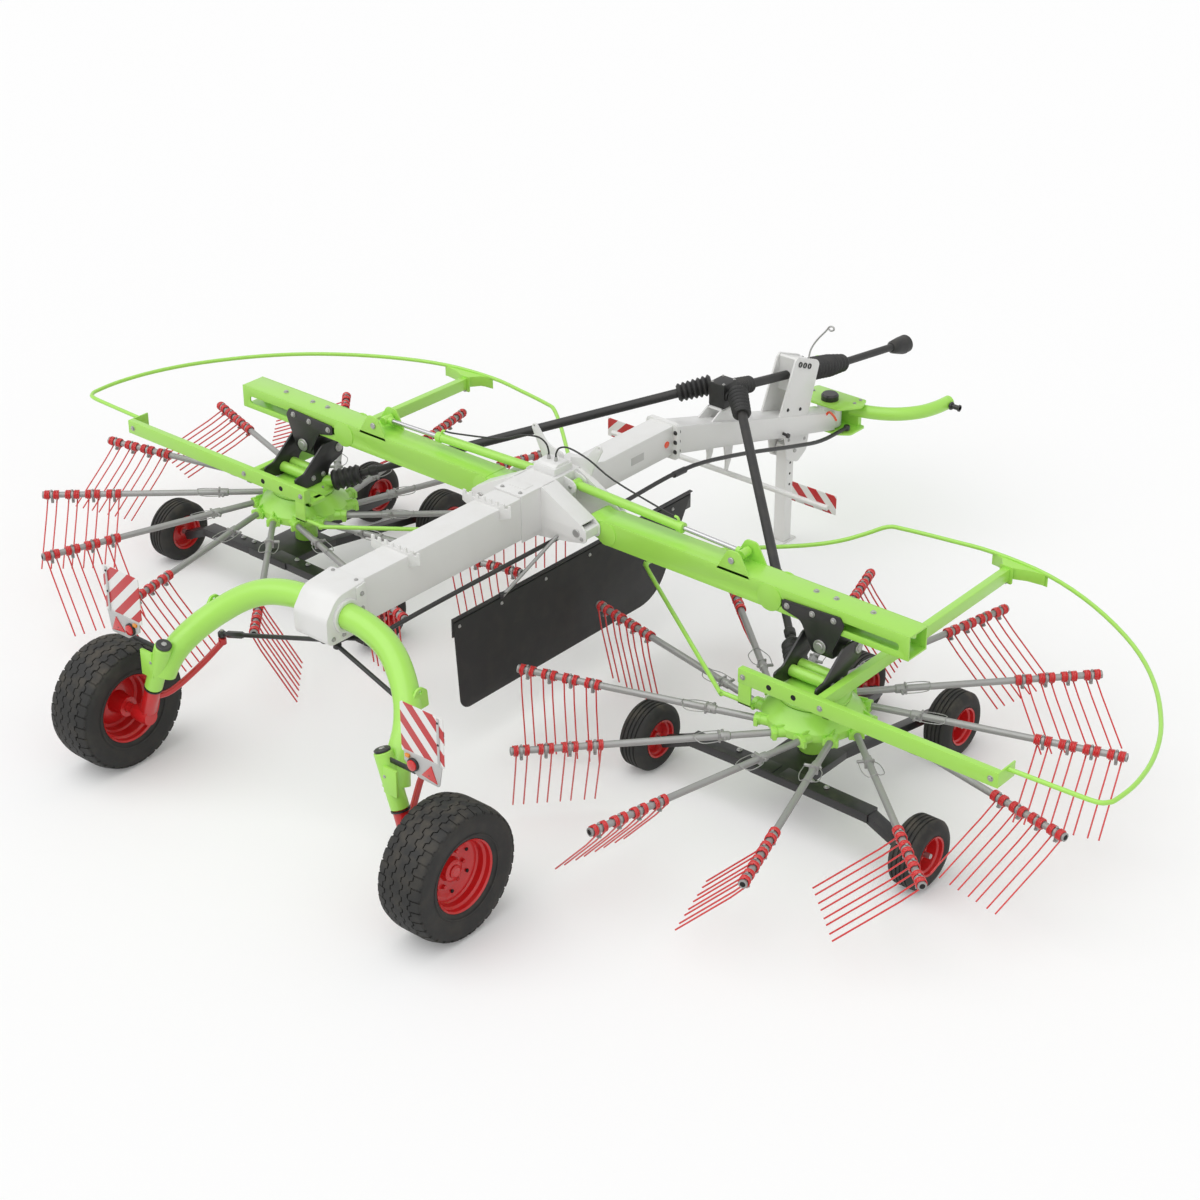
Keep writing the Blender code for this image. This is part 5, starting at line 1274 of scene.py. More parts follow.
# ---------------------------------------------------------------- booms
@dataclass
class BoomSide:
    """A folding boom with its cylinder, hanger, cradle, rotor head, carriage and guard."""

    shop: Workshop
    side: str
    sign: float
    x: float = 2.0368
    y: float = 2.2231
    y0: float = 2.262
    y1: float = 2.443
    z0: float = 1.097
    z1: float = 1.247
    base: Point = (0.155, 2.385, 1.345)
    eye: Point = (1.405, 2.385, 1.307)

    def at(self, *point: float) -> Point:
        """A right-hand point moved to this side."""
        return mirrored(self.sign, point)

    def xs(self, *values: float) -> tuple[float, ...]:
        """Values along X moved to this side."""
        return tuple(self.sign * value for value in values)

    def outline(self, *points: tuple[float, ...]) -> list[tuple[float, ...]]:
        """An outline whose first column is X, moved to this side."""
        return [(self.sign * p[0], *p[1:]) for p in points]

    def build(self) -> None:
        """Make every piece of this side."""
        self._boom()
        self._cylinder()
        self._hanger()
        self._head()
        self._carriage()
        self._guard()

    def _boom(self) -> None:
        """Folded box beam with its slot, open end, root discs, lugs and top bolts."""
        boom = self.shop.former(f"boom_works_{self.side}")
        middle, wall = (self.y0 + self.y1) / 2, 0.012
        slot = rounded(self.outline((1.63, 1.136, 0.02), (2.54, 1.136, 0.02), (2.54, 1.184, 0.02), (1.63, 1.184, 0.02)))
        side = self.outline((0.46, self.z0), (2.605, self.z0), (2.605, self.z1), (0.46, self.z1))
        for face, way in ((self.y0, 1), (self.y1, -1)):
            boom.add(Finish.LIME, plate(side, wall, "y", face + way * wall / 2, [slot], 0.003))
            boom.add(Finish.LIME, plate(circle((self.sign * 1.675, 1.168), 0.083, 32), 0.010, "y", face - way * 0.0002))
            lug = rounded(self.outline((1.30, 1.227, 0), (1.535, 1.227, 0), (1.455, 1.366, 0.035), (1.375, 1.366, 0.035)))
            boom.add(Finish.LIME, plate(lug, 0.012, "y", face + way * 0.006))
            boom.add(Finish.BOLT, rod((self.sign * 1.405, face - way * 0.010, 1.307),
                                      (self.sign * 1.405, face + way * 0.006, 1.307), 0.020, 18))
        for z in (self.z0, self.z1 - wall):
            boom.add(Finish.LIME, box(self.xs(0.46, 2.605), (self.y0 + 0.004, self.y1 - 0.004), (z, z + wall), 0.004))
        root = [(0.378 - 0.060 * math.sin(a), 1.195 + 0.060 * math.cos(a)) for a in (0.2, 0.6, 1.0, 1.57, 2.1, 2.6, 2.9)]
        boom.add(Finish.LIME, plate(self.outline((0.50, self.z0), (0.50, self.z1), (0.42, self.z1 - 0.006), *root),
                                    self.y1 - self.y0 - 0.004, "y", middle, ease=0.006))
        boom.add(Finish.LIME, plate(circle((self.sign * 0.49, 1.172), 0.073, 28), 0.008, "y", self.y0 - 0.0005))
        boom.bolts([((self.sign * x, 2.365, self.z1), (0, 0, 1), 0.0125) for x in (2.055, 2.30, 1.92)]
                   + [((self.sign * x, self.y0 - 0.0122, z), (0, -1, 0), 0.0135)
                      for x, z in ((1.805, 1.163), (1.977, 1.172), (2.120, 1.180))])
        boom.piece(f"boom_{self.side}", "lime_green", [f"boom_{self.side}"])

    def _cylinder(self) -> None:
        """Fold cylinder's barrel with its end cap and port, and its ground rod."""
        base, eye = Vector(self.at(*self.base)), Vector(self.at(*self.eye))
        line, across = (eye - base).normalized(), Vector((0, 0.034, 0))
        barrel = self.shop.former(f"fold_cylinder_works_{self.side}")
        barrel.add(Finish.LIME, turned([(0, 0.020), (0.02, 0.028), (0.755, 0.028), (0.757, 0.032), (0.795, 0.032),
                                        (0.798, 0.026)], base + line * 0.018, eye, 26),
                   rod(base - across, base + across, 0.030, 24))
        port = base + line * 0.775
        barrel.add(Finish.LIME, sweep(smooth([port + Vector((0, 0, 0.020)), port + Vector((0, 0, 0.038)),
                                              port + Vector((0, 0, 0.050)) - line * 0.008,
                                              port + Vector((0, 0, 0.053)) - line * 0.028]), 0.008, 12))
        barrel.add(Finish.BLACK, rod(base - across * 1.05, base + across * 1.05, 0.0105, 14))
        barrel.piece(f"fold_cylinder_{self.side}", "lime_green", [f"fold_cylinder_{self.side}"])
        piston = self.shop.former(f"fold_rod_works_{self.side}")
        piston.add(Finish.CHROME, rod(base + line * 0.45, eye - line * 0.02, 0.0148, 24))
        piston.add(Finish.LIME, turned([(0, 0.019), (0.004, 0.023), (0.030, 0.023)], eye - line * 0.055, eye, 20),
                   rod(eye - Vector((0, 0.037, 0)), eye + Vector((0, 0.037, 0)), 0.027, 24))
        piston.piece(f"fold_rod_{self.side}", "steel", [f"fold_rod_{self.side}"])

    def _hanger(self) -> None:
        """Slotted hanger plates, roll pin and the curved cradle below them."""
        part = self.shop.former(f"hanger_works_{self.side}")
        shape = rounded(self.outline((1.770, 1.135, 0.015), (1.770, 1.195, 0.015), (2.16, 1.212, 0.015), (2.19, 1.165, 0.03),
                                     (2.105, 0.950, 0.04), (1.985, 0.950, 0.04), (1.90, 1.105, 0.06)), 5)
        for y in (self.y0 - 0.0065, self.y1 + 0.0065):
            part.add(Finish.BLACK, plate(shape, 0.012, "y", y, ease=0.002))
        part.add(Finish.BLACK, box(self.xs(1.965, 2.117), (self.y0 + 0.004, self.y1 - 0.004), (0.925, 1.045), 0.012))
        part.add(Finish.BOLT, rod(self.at(2.041, self.y0 - 0.030, 0.992), self.at(2.041, self.y1 + 0.026, 0.992), 0.0255, 24),
                 turned([(0, 0.040), (0.004, 0.042), (0.010, 0.040)], self.at(2.041, self.y0 - 0.024, 0.992),
                        self.at(2.041, self.y0, 0.992), 26),
                 rod(self.at(self.x - 0.158, 2.416, 0.962), self.at(self.x + 0.158, 2.416, 0.962), 0.0195, 20))
        part.piece(f"boom_{self.side}", "black_paint", [f"hanger_{self.side}"])
        cradle = self.shop.former(f"cradle_works_{self.side}")
        shape = rounded([(2.020, 0.868, 0.02), (2.030, 0.790, 0.01), (2.130, 0.7725, 0), (2.300, 0.7725, 0),
                         (2.330, 0.860, 0.05), (2.450, 0.905, 0.04), (2.462, 0.985, 0.04), (2.400, 1.025, 0.03),
                         (2.280, 1.025, 0.04), (2.170, 0.935, 0.06), (2.100, 0.878, 0.04)], 5)
        for way in (-1, 1):
            place = self.sign * self.x + way * 0.140
            cradle.add(Finish.BLACK, plate(shape, 0.014, "x", place, ease=0.002))
            cradle.add(Finish.BOLT, rod((place, 2.416, 0.962), (place + way * 0.014, 2.416, 0.962), 0.032, 20))
        for y in (2.178, 2.265):
            cradle.add(Finish.LIME, rod((self.sign * self.x - 0.133, y, 0.824), (self.sign * self.x + 0.133, y, 0.824),
                                        0.0345, 24))
        cradle.bolts([((self.sign * self.x + way * 0.147, y, 0.824), (way, 0, 0), 0.013)
                      for way in (-1, 1) for y in (2.178, 2.265)])
        cradle.piece(f"boom_{self.side}", "black_paint", [f"cradle_{self.side}"])

    def _head(self) -> None:
        """Fixed drum of the rotor with its domed top, drive neck, mast and lugs."""
        head = self.shop.former(f"rotor_head_works_{self.side}")
        x = self.sign * self.x
        head.add(Finish.LIME, revolve(
            [(0.0, 0.700), (0.206, 0.700), (0.2095, 0.704), (0.2095, 0.716), (0.200, 0.722), (0.192, 0.742), (0.172, 0.762),
             (0.140, 0.7715), (0.0, 0.7715)], (x, self.y, 0.0), (0, 0, 1), 56), rod((x, self.y, 0.34), (x, self.y, 0.71), 0.074, 28))
        low, top = Vector(self.at(1.85, 2.31, 0.77)), Vector(self.at(0.14, 3.99, 1.35))
        inward = (top - low).normalized()
        head.add(Finish.LIME, turned([(0, 0.050), (0.09, 0.042), (0.17, 0.036)], (x - self.sign * 0.04, self.y + 0.015, 0.744),
                                     low, 22))
        ribs = [(low + inward * (0.185 * t / 24), 0.060 + 0.0115 * (0.5 - 0.5 * math.cos(2 * math.pi * t / 4.8)) - 0.006 * t / 24)
                for t in range(25)]
        outer = [(r, (p - low).length) for p, r in ribs]
        head.add(Finish.PLASTIC, revolve([*outer, (0.048, 0.185), (0.048, -0.004)], low, inward, 28))
        for inner, far in ((1.722, 1.782), (2.262, 2.304)):
            head.add(Finish.LIME, box(self.xs(inner, far), (1.9755, 2.12), (0.745, 0.768), 0.002),
                     box(self.xs(inner, far), (1.9755, 1.987), (0.745, 0.862), 0.002))
        head.add(Finish.LIME, box(self.xs(1.75, 2.30), (2.06, 2.12), (0.745, 0.768), 0.002))
        head.ring(Finish.BOLT, rod((x + 0.182, self.y, 0.748), (x + 0.182, self.y, 0.762), 0.008, 6, 0.002), 8,
                  (x, self.y, 0), (0, 0, 1))
        head.piece(f"boom_{self.side}", "lime_green", [f"rotor_head_{self.side}"])

    def _carriage(self) -> None:
        """Folded beams and stub axles that carry the four small wheels."""
        part = self.shop.former(f"chassis_works_{self.side}")
        x, y, s = self.sign * self.x, self.y, self.sign
        part.add(Finish.BLACK, turned([(0, 0.080), (0.005, 0.085), (0.095, 0.085), (0.0997, 0.082)], (x, y, 0.24), (x, y, 1), 30),
                 box((x - 0.17, x + 0.17), (y - 0.36, y + 0.10), (0.288, 0.338), 0.006))
        spots = []
        for name, dx, dy in SMALL_WHEELS:
            way = 1 if dx > 0 else -1
            hub = Vector((x + s * dx, y + dy, 0.205))
            elbow = hub - Vector((s * way * 0.133, 0, 0))
            if "rear" in name:
                knee = Vector((x + s * way * 0.62, y + dy, 0.305))
                part.add(Finish.BLACK, beam((x + s * way * 0.02, y + dy, 0.316), knee, 0.105, 0.055, 0.006),
                         beam(knee - Vector((s * way * 0.03, 0, -0.002)), elbow + Vector((s * way * 0.02, 0, 0)), 0.085, 0.052, 0.006))
                spots += [(Vector((x + s * way * t, y + dy + 0.02, 0.344)), (0, 0, 1), 0.012) for t in (0.20, 0.30)]
            else:
                part.add(Finish.BLACK, beam((x + s * way * 0.10, y, 0.300), elbow + Vector((0, 0.03, 0)), 0.060, 0.052, 0.006))
            part.add(Finish.BLACK, turned([(0, 0.034), (0.012, 0.034), (0.045, 0.024)], elbow, hub, 20))
            part.add(Finish.BOLT, rod(elbow, hub + Vector((s * way * 0.076, 0, 0)), 0.0155, 16))
        part.bolts(spots)
        part.piece(f"boom_{self.side}", "black_paint", [f"chassis_{self.side}"])

    def _guard(self) -> None:
        """Rear bar, front arm, the wide bow and the inner strut of the guard."""
        part = self.shop.former(f"guard_works_{self.side}")
        add = lambda *shapes: part.add(Finish.LIME, *shapes)  # noqa: E731
        y0, y1, z0, z1 = 1.93, 1.975, 0.783, 0.875
        add(box(self.xs(1.717, 3.394), (y0, y1), (z0, z1), 0.005), box(self.xs(3.392, 3.402), (y0, 2.098), (z0, z1), 0.003),
            beam(self.at(2.232, 1.965, 0.8145), self.at(2.200, 3.94, 0.810), 0.050, 0.080, 0.005),
            beam(self.at(2.035, 4.052, 0.820), self.at(2.445, 4.010, 0.820), 0.006, 0.088, 0.002))
        add(plate(rounded(self.outline((2.155, 0.75, 0.012), (2.245, 0.75, 0.012), (2.245, 0.866, 0.012), (2.155, 0.866, 0.012))),
                  0.010, "y", 3.943))
        bracket = self.outline((2.175, 3.945), (2.225, 3.945), (2.32, 3.985), (2.43, 4.000), (2.43, 4.012), (2.24, 4.046),
                               (2.04, 4.058), (2.04, 4.050), (2.12, 4.02))
        add(plate(bracket, 0.074, "z", 0.820))
        bow = [(3.398, 2.030), (3.72, 2.040), (3.90, 2.050), (3.955, 2.085), (3.9745, 2.15), (3.9745, 2.35), (3.92, 2.62),
               (3.79, 2.93), (3.55, 3.29), (3.25, 3.59), (2.85, 3.85), (2.445, 4.010), (2.04, 4.052), (1.74, 4.015),
               (1.46, 3.965), (1.36, 3.925)]
        drop = [(1.25, 3.86, 0.80), (1.12, 3.76, 0.745), (0.95, 3.61, 0.715), (0.64, 3.33, 0.70), (0.43, 3.08, 0.695),
                (0.335, 2.90, 0.69), (0.34, 2.83, 0.689), (0.42, 2.76, 0.688), (1.50, 2.005, 0.665), (1.585, 1.955, 0.662),
                (1.66, 1.9525, 0.662), (1.75, 1.9525, 0.662)]
        route = smooth([self.at(px, py, 0.856) for px, py in bow] + [self.at(*p) for p in drop], 4)
        add(sweep(route, 0.0135, 12))
        add(box(self.xs(1.722, 1.808), (y0 + 0.002, y0 + 0.012), (0.652, z0 + 0.02), 0.002),
            box(self.xs(1.722, 1.808), (y0 + 0.002, y1), (0.652, 0.664), 0.002))
        part.bolts([((self.sign * bx, y0, 0.829), (0, -1, 0), 0.0125) for bx in (1.752, 2.274, 3.356)]
                   + [((self.sign * 2.20, 3.938, z), (0, -1, 0), 0.010) for z in (0.758,)]
                   + [((self.sign * bx, y, 0.820), (self.sign * 0.1, -1, 0), 0.009)
                      for bx, y in ((2.10, 4.040), (2.30, 4.018), (2.39, 4.008))])
        # Near-black discs of painted shade stand for two holes in the rear bar.
        for bx in (1.931, 2.097):
            part.add(Finish.DARK, rod((self.sign * bx, y0 - 0.003, 0.829), (self.sign * bx, y0 + 0.004, 0.829), 0.017, 20))
        part.piece(f"boom_{self.side}", "lime_green", [f"guard_{self.side}"])


# ---------------------------------------------------------------- drive line
@dataclass
class DriveLine:
    """Angle gearbox, front shaft with its coupling bell, and the two rotor shafts."""

    shop: Workshop
    inlet: Point = (0.0, 4.115, 1.3352)
    tower_exit: Point = (0.0, 4.96, 1.189)

    def build(self) -> None:
        """Make the gearbox and all three shafts."""
        box_piece = self.shop.former("drive_gearbox_works")
        box_piece.add(Finish.PLASTIC, box((-0.062, 0.062), (3.94, 4.085), (1.2625, 1.425), 0.012),
                      rod((-0.076, 3.99, 1.345), (0.076, 3.99, 1.345), 0.040, 22),
                      turned([(0, 0.046), (0.03, 0.046), (0.036, 0.040)], (0, 4.07, 1.343), self.inlet, 22))
        box_piece.bolts([((x, y, 1.425), (0, 0, 1), 0.007) for x in (-0.045, 0.045) for y in (3.957, 4.068)])
        box_piece.piece("frame", "plastic", ["drive_gearbox"])
        inlet, way = Vector(self.inlet), (Vector(self.tower_exit) - Vector(self.inlet)).normalized()
        exit_at = inlet + way * (Vector(self.tower_exit) - inlet).length
        front = self.shop.former("input_shaft_works")
        front.add(Finish.PLASTIC, bellows(inlet - way * 0.012, inlet + way * 0.19, 0.066, 0.056, 6),
                  rod(inlet + way * 0.15, exit_at + way * 0.03, 0.030, 24),
                  turned([(0, 0.040), (0.012, 0.046), (0.03, 0.046)], exit_at - way * 0.002, exit_at + way, 24),
                  bellows(exit_at + way * 0.012, (0.0, 5.19, 1.140), 0.080, 0.078, 6),
                  bellows((0.0, 5.18, 1.142), (0.0, 5.36, 1.105), 0.078, 0.060, 4),
                  rod((0, 5.35, 1.107), (0, 5.95, 1.028), 0.026, 24),
                  turned([(0, 0.030), (0.02, 0.045), (0.06, 0.052), (0.12, 0.062), (0.155, 0.064), (0.16, 0.058)],
                         (0, 5.94, 1.029), (0, 6.10, 0.998), 30),
                  revolve([(0.050, 0.0), (0.058, -0.004), (0.0635, 0.002), (0.0635, 0.058), (0.058, 0.064), (0.050, 0.062)],
                          (0, 6.066, 1.003), (0, 1, -0.05), 30))
        front.piece("frame", "plastic", ["input_shaft"])
        for side, s in SIDES:
            top, low = Vector(mirrored(s, (0.14, 3.99, 1.35))), Vector(mirrored(s, (1.85, 2.31, 0.77)))
            length, line = (low - top).length, (low - top).normalized()
            guard = self.shop.former(f"drive_shaft_works_{side}")
            guard.add(Finish.PLASTIC, bellows(top - line * 0.055, top + line * 0.175, 0.070, 0.060, 7),
                      rod(top + line * 0.16, top + line * (length - 0.75), 0.030, 24),
                      turned([(0, 0.030), (0.004, 0.035), (0.050, 0.035), (0.054, 0.030)],
                             top + line * (length - 0.80), low, 24))
            guard.piece(f"drive_shaft_{side}", "plastic", [f"drive_shaft_{side}"])
            slider = self.shop.former(f"drive_slider_works_{side}")
            slider.add(Finish.PLASTIC, rod(top + line * 1.15, top + line * (length - 0.06), 0.0232, 22),
                       turned([(0, 0.026), (0.01, 0.034), (0.05, 0.034), (0.06, 0.026)], top + line * (length - 0.30), low, 22))
            slider.piece(f"drive_shaft_slider_{side}", "plastic", [f"drive_shaft_slider_{side}"])


# ---------------------------------------------------------------- main frame
@dataclass
class MainFrame:
    """Beam, pivot block, drawbar with its tower, boards, curtain and the two hoses."""

    shop: Workshop
    flange_y: float = 3.40
    beam_top: float = 1.395
    curtain_x: float = 0.20

    def drawbar_top(self, y: float) -> float:
        """Height of the drawbar's top face."""
        return 1.340 - 0.292 * (y - self.flange_y)

    def build(self) -> None:
        """Make every piece that is fixed to the frame."""
        self._beam()
        self._pivot_block()
        self._drawbar()
        self._boards()
        self._curtain()
        self._hoses()

    def _beam(self) -> None:
        """Main beam with its arm racks, end flange, bolts and reflectors."""
        beam_piece = self.shop.former("main_beam_works")
        beam_piece.add(Finish.PALE, box((-0.10, 0.10), (0.6553, 2.62), (1.12, self.beam_top), 0.009))
        profile = [(0.70, 1.125), (2.62, 1.125), (2.72, 1.153), (3.392, 1.153), (3.392, 1.352), (2.72, 1.352), (2.62, 1.38),
                   (0.70, 1.38)]
        beam_piece.add(Finish.PALE, plate(profile, 0.18, "x", 0.0, ease=0.008))
        flange = rounded([(-0.125, 1.123, 0.02), (0.125, 1.123, 0.02), (0.125, 1.367, 0.035), (-0.125, 1.367, 0.035)])
        beam_piece.add(Finish.PALE, plate(flange, 0.016, "y", 3.392, ease=0.003))
        for rack_y in (1.02, 1.775):
            beam_piece.add(Finish.PALE, plate([(-0.11, 1.33), (0.11, 1.33), (0.19, 1.365), (0.19, 1.412), (-0.19, 1.412),
                                               (-0.19, 1.365)], 0.010, "y", rack_y))
            teeth = [(x + dx, z) for x in [-0.176 + 0.0503 * k for k in range(8)]
                     for dx, z in ((-0.013, 1.410), (-0.010, 1.437), (0.010, 1.437), (0.013, 1.410))]
            beam_piece.add(Finish.PALE, plate([(-0.19, 1.400), *teeth, (0.19, 1.400)], 0.011, "y", rack_y, ease=0.002))
            beam_piece.add(Finish.PALE, box((-0.11, 0.11), (rack_y + 0.005, rack_y + 0.045), (1.395, 1.401), 0.001))
        beam_piece.bolts([((s * 0.112, 3.383, z), (0, -1, 0), 0.0105) for s in (-1, 1) for z in (1.18, 1.245, 1.31)], Finish.BLACK)
        for s in (-1, 1):
            beam_piece.add(Finish.ORANGE, turned([(0, 0.022), (0.004, 0.022), (0.007, 0.015)], (s * 0.0895, 3.325, 1.245),
                                                 (s * 1, 3.325, 1.245), 20))
            beam_piece.add(Finish.PLATE, box((s * 0.0895, s * 0.092), (2.98, 3.10), (1.225, 1.275), 0.0008))
        beam_piece.piece("frame", "light_grey", ["main_beam"])

    def _pivot_block(self) -> None:
        """Cast cross block: hollow wings with sloping tops, horns, lugs and the hose block."""
        block = self.shop.former("pivot_block_works")
        add = lambda *shapes: block.add(Finish.PALE, *shapes)  # noqa: E731
        wing = rounded([(-0.452, 1.148, 0.03), (-0.33, 1.120, 0.08), (-0.10, 1.083, 0.04), (0.10, 1.083, 0.04),
                        (0.33, 1.120, 0.08), (0.452, 1.148, 0.03), (0.452, 1.222, 0.03), (0.405, 1.258, 0.03),
                        (0.118, 1.408, 0.02), (-0.118, 1.408, 0.02), (-0.405, 1.258, 0.03), (-0.452, 1.222, 0.03)])
        for y0, y1 in ((2.125, 2.137), (2.2435, 2.2555), (2.4495, 2.4615), (2.480, 2.492)):
            add(plate(wing, y1 - y0, "y", (y0 + y1) / 2, ease=0.002))
        for y0, y1 in ((2.128, 2.253), (2.452, 2.490)):
            for s in (-1, 1):
                add(beam((s * 0.112, (y0 + y1) / 2, 1.405), (s * 0.410, (y0 + y1) / 2, 1.251), y1 - y0, 0.010, 0.002),
                    box((s * 0.385, s * 0.448), (y0, y1), (1.165, 1.225), 0.010),
                    beam((s * 0.10, (y0 + y1) / 2, 1.094), (s * 0.37, (y0 + y1) / 2, 1.134), y1 - y0, 0.008, 0.002))
        add(box((-0.106, 0.106), (1.955, 2.54), (1.3953, 1.409), 0.004), box((-0.106, -0.1003), (1.955, 2.54), (1.105, 1.40), 0.002),
            box((0.1003, 0.106), (1.955, 2.54), (1.105, 1.40), 0.002), box((-0.084, 0.084), (2.272, 2.438), (1.405, 1.455), 0.012),
            plate(rounded([(2.27, 1.40, 0), (2.44, 1.40, 0), (2.42, 1.470, 0.03), (2.30, 1.470, 0.03)]), 0.15, "x", 0.0, ease=0.006))
        for s in (-1, 1):
            add(plate(rounded([(s * 0.03, 1.40, 0), (s * 0.16, 1.30, 0.02), (s * 0.198, 1.40, 0.15), (s * 0.276, 1.560, 0.02),
                               (s * 0.262, 1.589, 0.015), (s * 0.235, 1.584, 0.02), (s * 0.150, 1.478, 0.12), (s * 0.03, 1.455, 0.02)], 6),
                      0.013, "y", 2.4855, [circle((s * 0.256, 1.570), 0.008, 12)], 0.002))
            for y in (2.337, 2.433):
                add(plate(rounded([(s * 0.09, 1.300, 0), (s * 0.165, 1.300, 0.02), (s * 0.198, 1.330, 0.03), (s * 0.195, 1.365, 0.03),
                                   (s * 0.165, 1.388, 0.03), (s * 0.09, 1.404, 0)]), 0.012, "y", y, ease=0.002))
            block.add(Finish.BOLT, rod((s * 0.155, 2.325, 1.345), (s * 0.155, 2.445, 1.345), 0.0125, 18),
                      rod((s * 0.378, 2.117, 1.195), (s * 0.378, 2.500, 1.195), 0.0255, 26),
                      rod((s * 0.028, 2.352, 1.462), (s * 0.028, 2.352, 1.484), 0.012, 6, 0.002),
                      turned([(0, 0.010), (0.016, 0.0095), (0.022, 0.008)], (s * 0.028, 2.352, 1.475),
                             (s * 0.028, 2.352, 1.60), 16))
            block.bolts([((s * 0.418, 2.127, 1.166), (0, -1, 0), 0.010), ((s * 0.07, 1.985, 1.409), (0, 0, 1), 0.010)])
        add(box((-0.06, 0.06), (2.03, 2.11), (1.4085, 1.4125), 0.001))
        block.piece("frame", "light_grey", ["pivot_block"])

    def _drawbar(self) -> None:
        """Cranked drawbar, gearbox pedestal, tower, jack cheeks and board hangers."""
        bar = self.shop.former("drawbar_works")
        add, top = lambda *shapes: bar.add(Finish.PALE, *shapes), self.drawbar_top  # noqa: E731
        add(plate([(3.4003, 1.149), (5.17, 0.694), (5.17, top(5.17)), (3.4003, top(3.4))], 0.18, "x", 0.0, ease=0.008),
            plate(rounded([(-0.125, 1.123, 0.02), (0.125, 1.123, 0.02), (0.125, 1.367, 0.035), (-0.125, 1.367, 0.035)]),
                  0.016, "y", 3.4085, ease=0.003),
            revolve([(0.0308, 0.0), (0.080, 0.0), (0.085, 0.005), (0.085, 0.160), (0.080, 0.165), (0.0308, 0.165)],
                    (0, 5.22, 0.699), (0, 0, 1), 36),
            box((-0.07, 0.07), (5.15, 5.185), (0.705, 0.82), 0.004))
        for s in (-1, 1):
            add(plate(rounded([(3.80, top(3.80) - 0.02, 0), (4.10, top(4.10) - 0.02, 0), (4.06, 1.262, 0.02), (3.92, 1.262, 0.02)]),
                      0.012, "x", s * 0.054),
                plate(rounded([(4.52, top(4.52) - 0.04, 0), (4.84, top(4.84) - 0.04, 0), (4.965, 1.255, 0.03), (4.935, 1.288, 0.03),
                               (4.72, 1.372, 0.015), (4.69, 1.355, 0.02)], 5), 0.014, "x", s * 0.073, ease=0.002),
                plate(rounded([(4.60, 0.87, 0), (4.885, 0.80, 0), (4.86, 0.66, 0.05), (4.76, 0.60, 0.05), (4.64, 0.66, 0.05)], 5),
                      0.010, "x", s * 0.070),
                plate([(3.93, 1.04), (4.03, 1.01), (4.012, 0.90), (3.977, 0.826), (3.953, 0.826), (3.955, 0.90)], 0.012, "x", s * 0.075))
            bar.bolts([((s * 0.112, 3.417, z), (0, 1, 0), 0.0105) for z in (1.18, 1.245, 1.31)]
                      + [((s * 0.080, y, z), (s, 0, 0), 0.009) for y, z in ((4.62, 1.03), (4.76, 0.99))], Finish.BLACK)
            bar.bolts([((s * 0.074, y, z), (s, 0, 0), 0.009) for y, z in ((4.65, 0.80), (4.83, 0.75))])
        add(box((-0.06, 0.06), (3.925, 4.055), (1.250, 1.262), 0.003),
            plate([(4.705, 1.12), (4.945, 1.12), (4.945, 1.262), (4.93, 1.28), (4.72, 1.362), (4.705, 1.355)], 0.134, "x", 0.0, ease=0.004))
        for k in range(3):
            ring_at = Vector((0.083, 4.74 + 0.052 * k, 1.315 - 0.022 * k))
            bar.add(Finish.BLACK, revolve([(0.012, -0.003), (0.019, -0.003), (0.019, 0.004), (0.012, 0.004)], ring_at, (1, 0, 0), 18))
        bar.add(Finish.BOLT, rod((-0.085, 4.72, 0.70), (0.085, 4.72, 0.70), 0.0138, 18),
                sweep(smooth([(0.06, 4.86, 1.30), (0.075, 4.86, 1.38), (0.12, 4.86, 1.46), (0.19, 4.86, 1.545), (0.215, 4.86, 1.580),
                              (0.245, 4.86, 1.587), (0.252, 4.86, 1.568), (0.228, 4.86, 1.556), (0.205, 4.86, 1.566)], 4), 0.006, 10))
        bar.add(Finish.LEVER, sweep(smooth([(0.085, 5.060, 0.845), (0.105, 5.066, 0.868), (0.165, 5.03, 0.872), (0.215, 4.99, 0.868)]),
                                    0.008, 12))
        bar.add(Finish.BLACK, rod((0.085, 4.562, 0.885), (0.120, 4.562, 0.880), 0.010, 14), rod((0.120, 4.562, 0.880), (0.140, 4.562, 0.878), 0.017, 16))
        bar.piece("frame", "light_grey", ["drawbar"])

    def _boards(self) -> None:
        """Striped marker boards, front and rear, with the rear lamps and reflectors."""
        front = self.shop.former("front_boards_works")
        front.add(Finish.PALE, rod((-0.88, 3.965, 0.8145), (0.88, 3.965, 0.8145), 0.018, 22))
        for s in (-1, 1):
            front.add(Finish.STRIPE, box((s * 0.59, s * 0.93), (3.979, 3.985), (0.775, 0.905), 0.001))
        front.bolts([((s * x, 3.979, 0.8145), (0, -1, 0), 0.007) for s in (-1, 1) for x in (0.64, 0.86)])
        front.piece("frame", "light_grey", ["front_board_bar"])
        for side, s in SIDES:
            board = self.shop.former(f"rear_board_works_{side}")
            board.add(Finish.STRIPE, plate(rounded([(s * 1.01, 0.985, 0.01), (s * 1.31, 0.985, 0.01), (s * 1.31, 1.28, 0.012),
                                                    (s * 1.01, 1.28, 0.012)]), 0.006, "y", 0.003, ease=0.001))
            board.add(Finish.PLATE, plate(rounded([(s * 1.03, 0.935, 0.01), (s * 1.13, 0.865, 0.02), (s * 1.275, 0.862, 0.015),
                                                   (s * 1.30, 1.0, 0.01), (s * 1.03, 1.0, 0.01)]), 0.008, "y", 0.0),
                      box((s * 1.27, s * 1.285), (-0.006, -0.001), (0.99, 1.275), 0.001))
            board.add(Finish.BLACK, turned([(0, 0.036), (0.012, 0.038), (0.018, 0.036)], (s * 1.10, -0.002, 0.935),
                                           (s * 1.10, -1, 0.935), 26), beam((s * 0.92, 0.004, 0.885), (s * 1.10, 0.004, 0.885), 0.008, 0.030, 0.002))
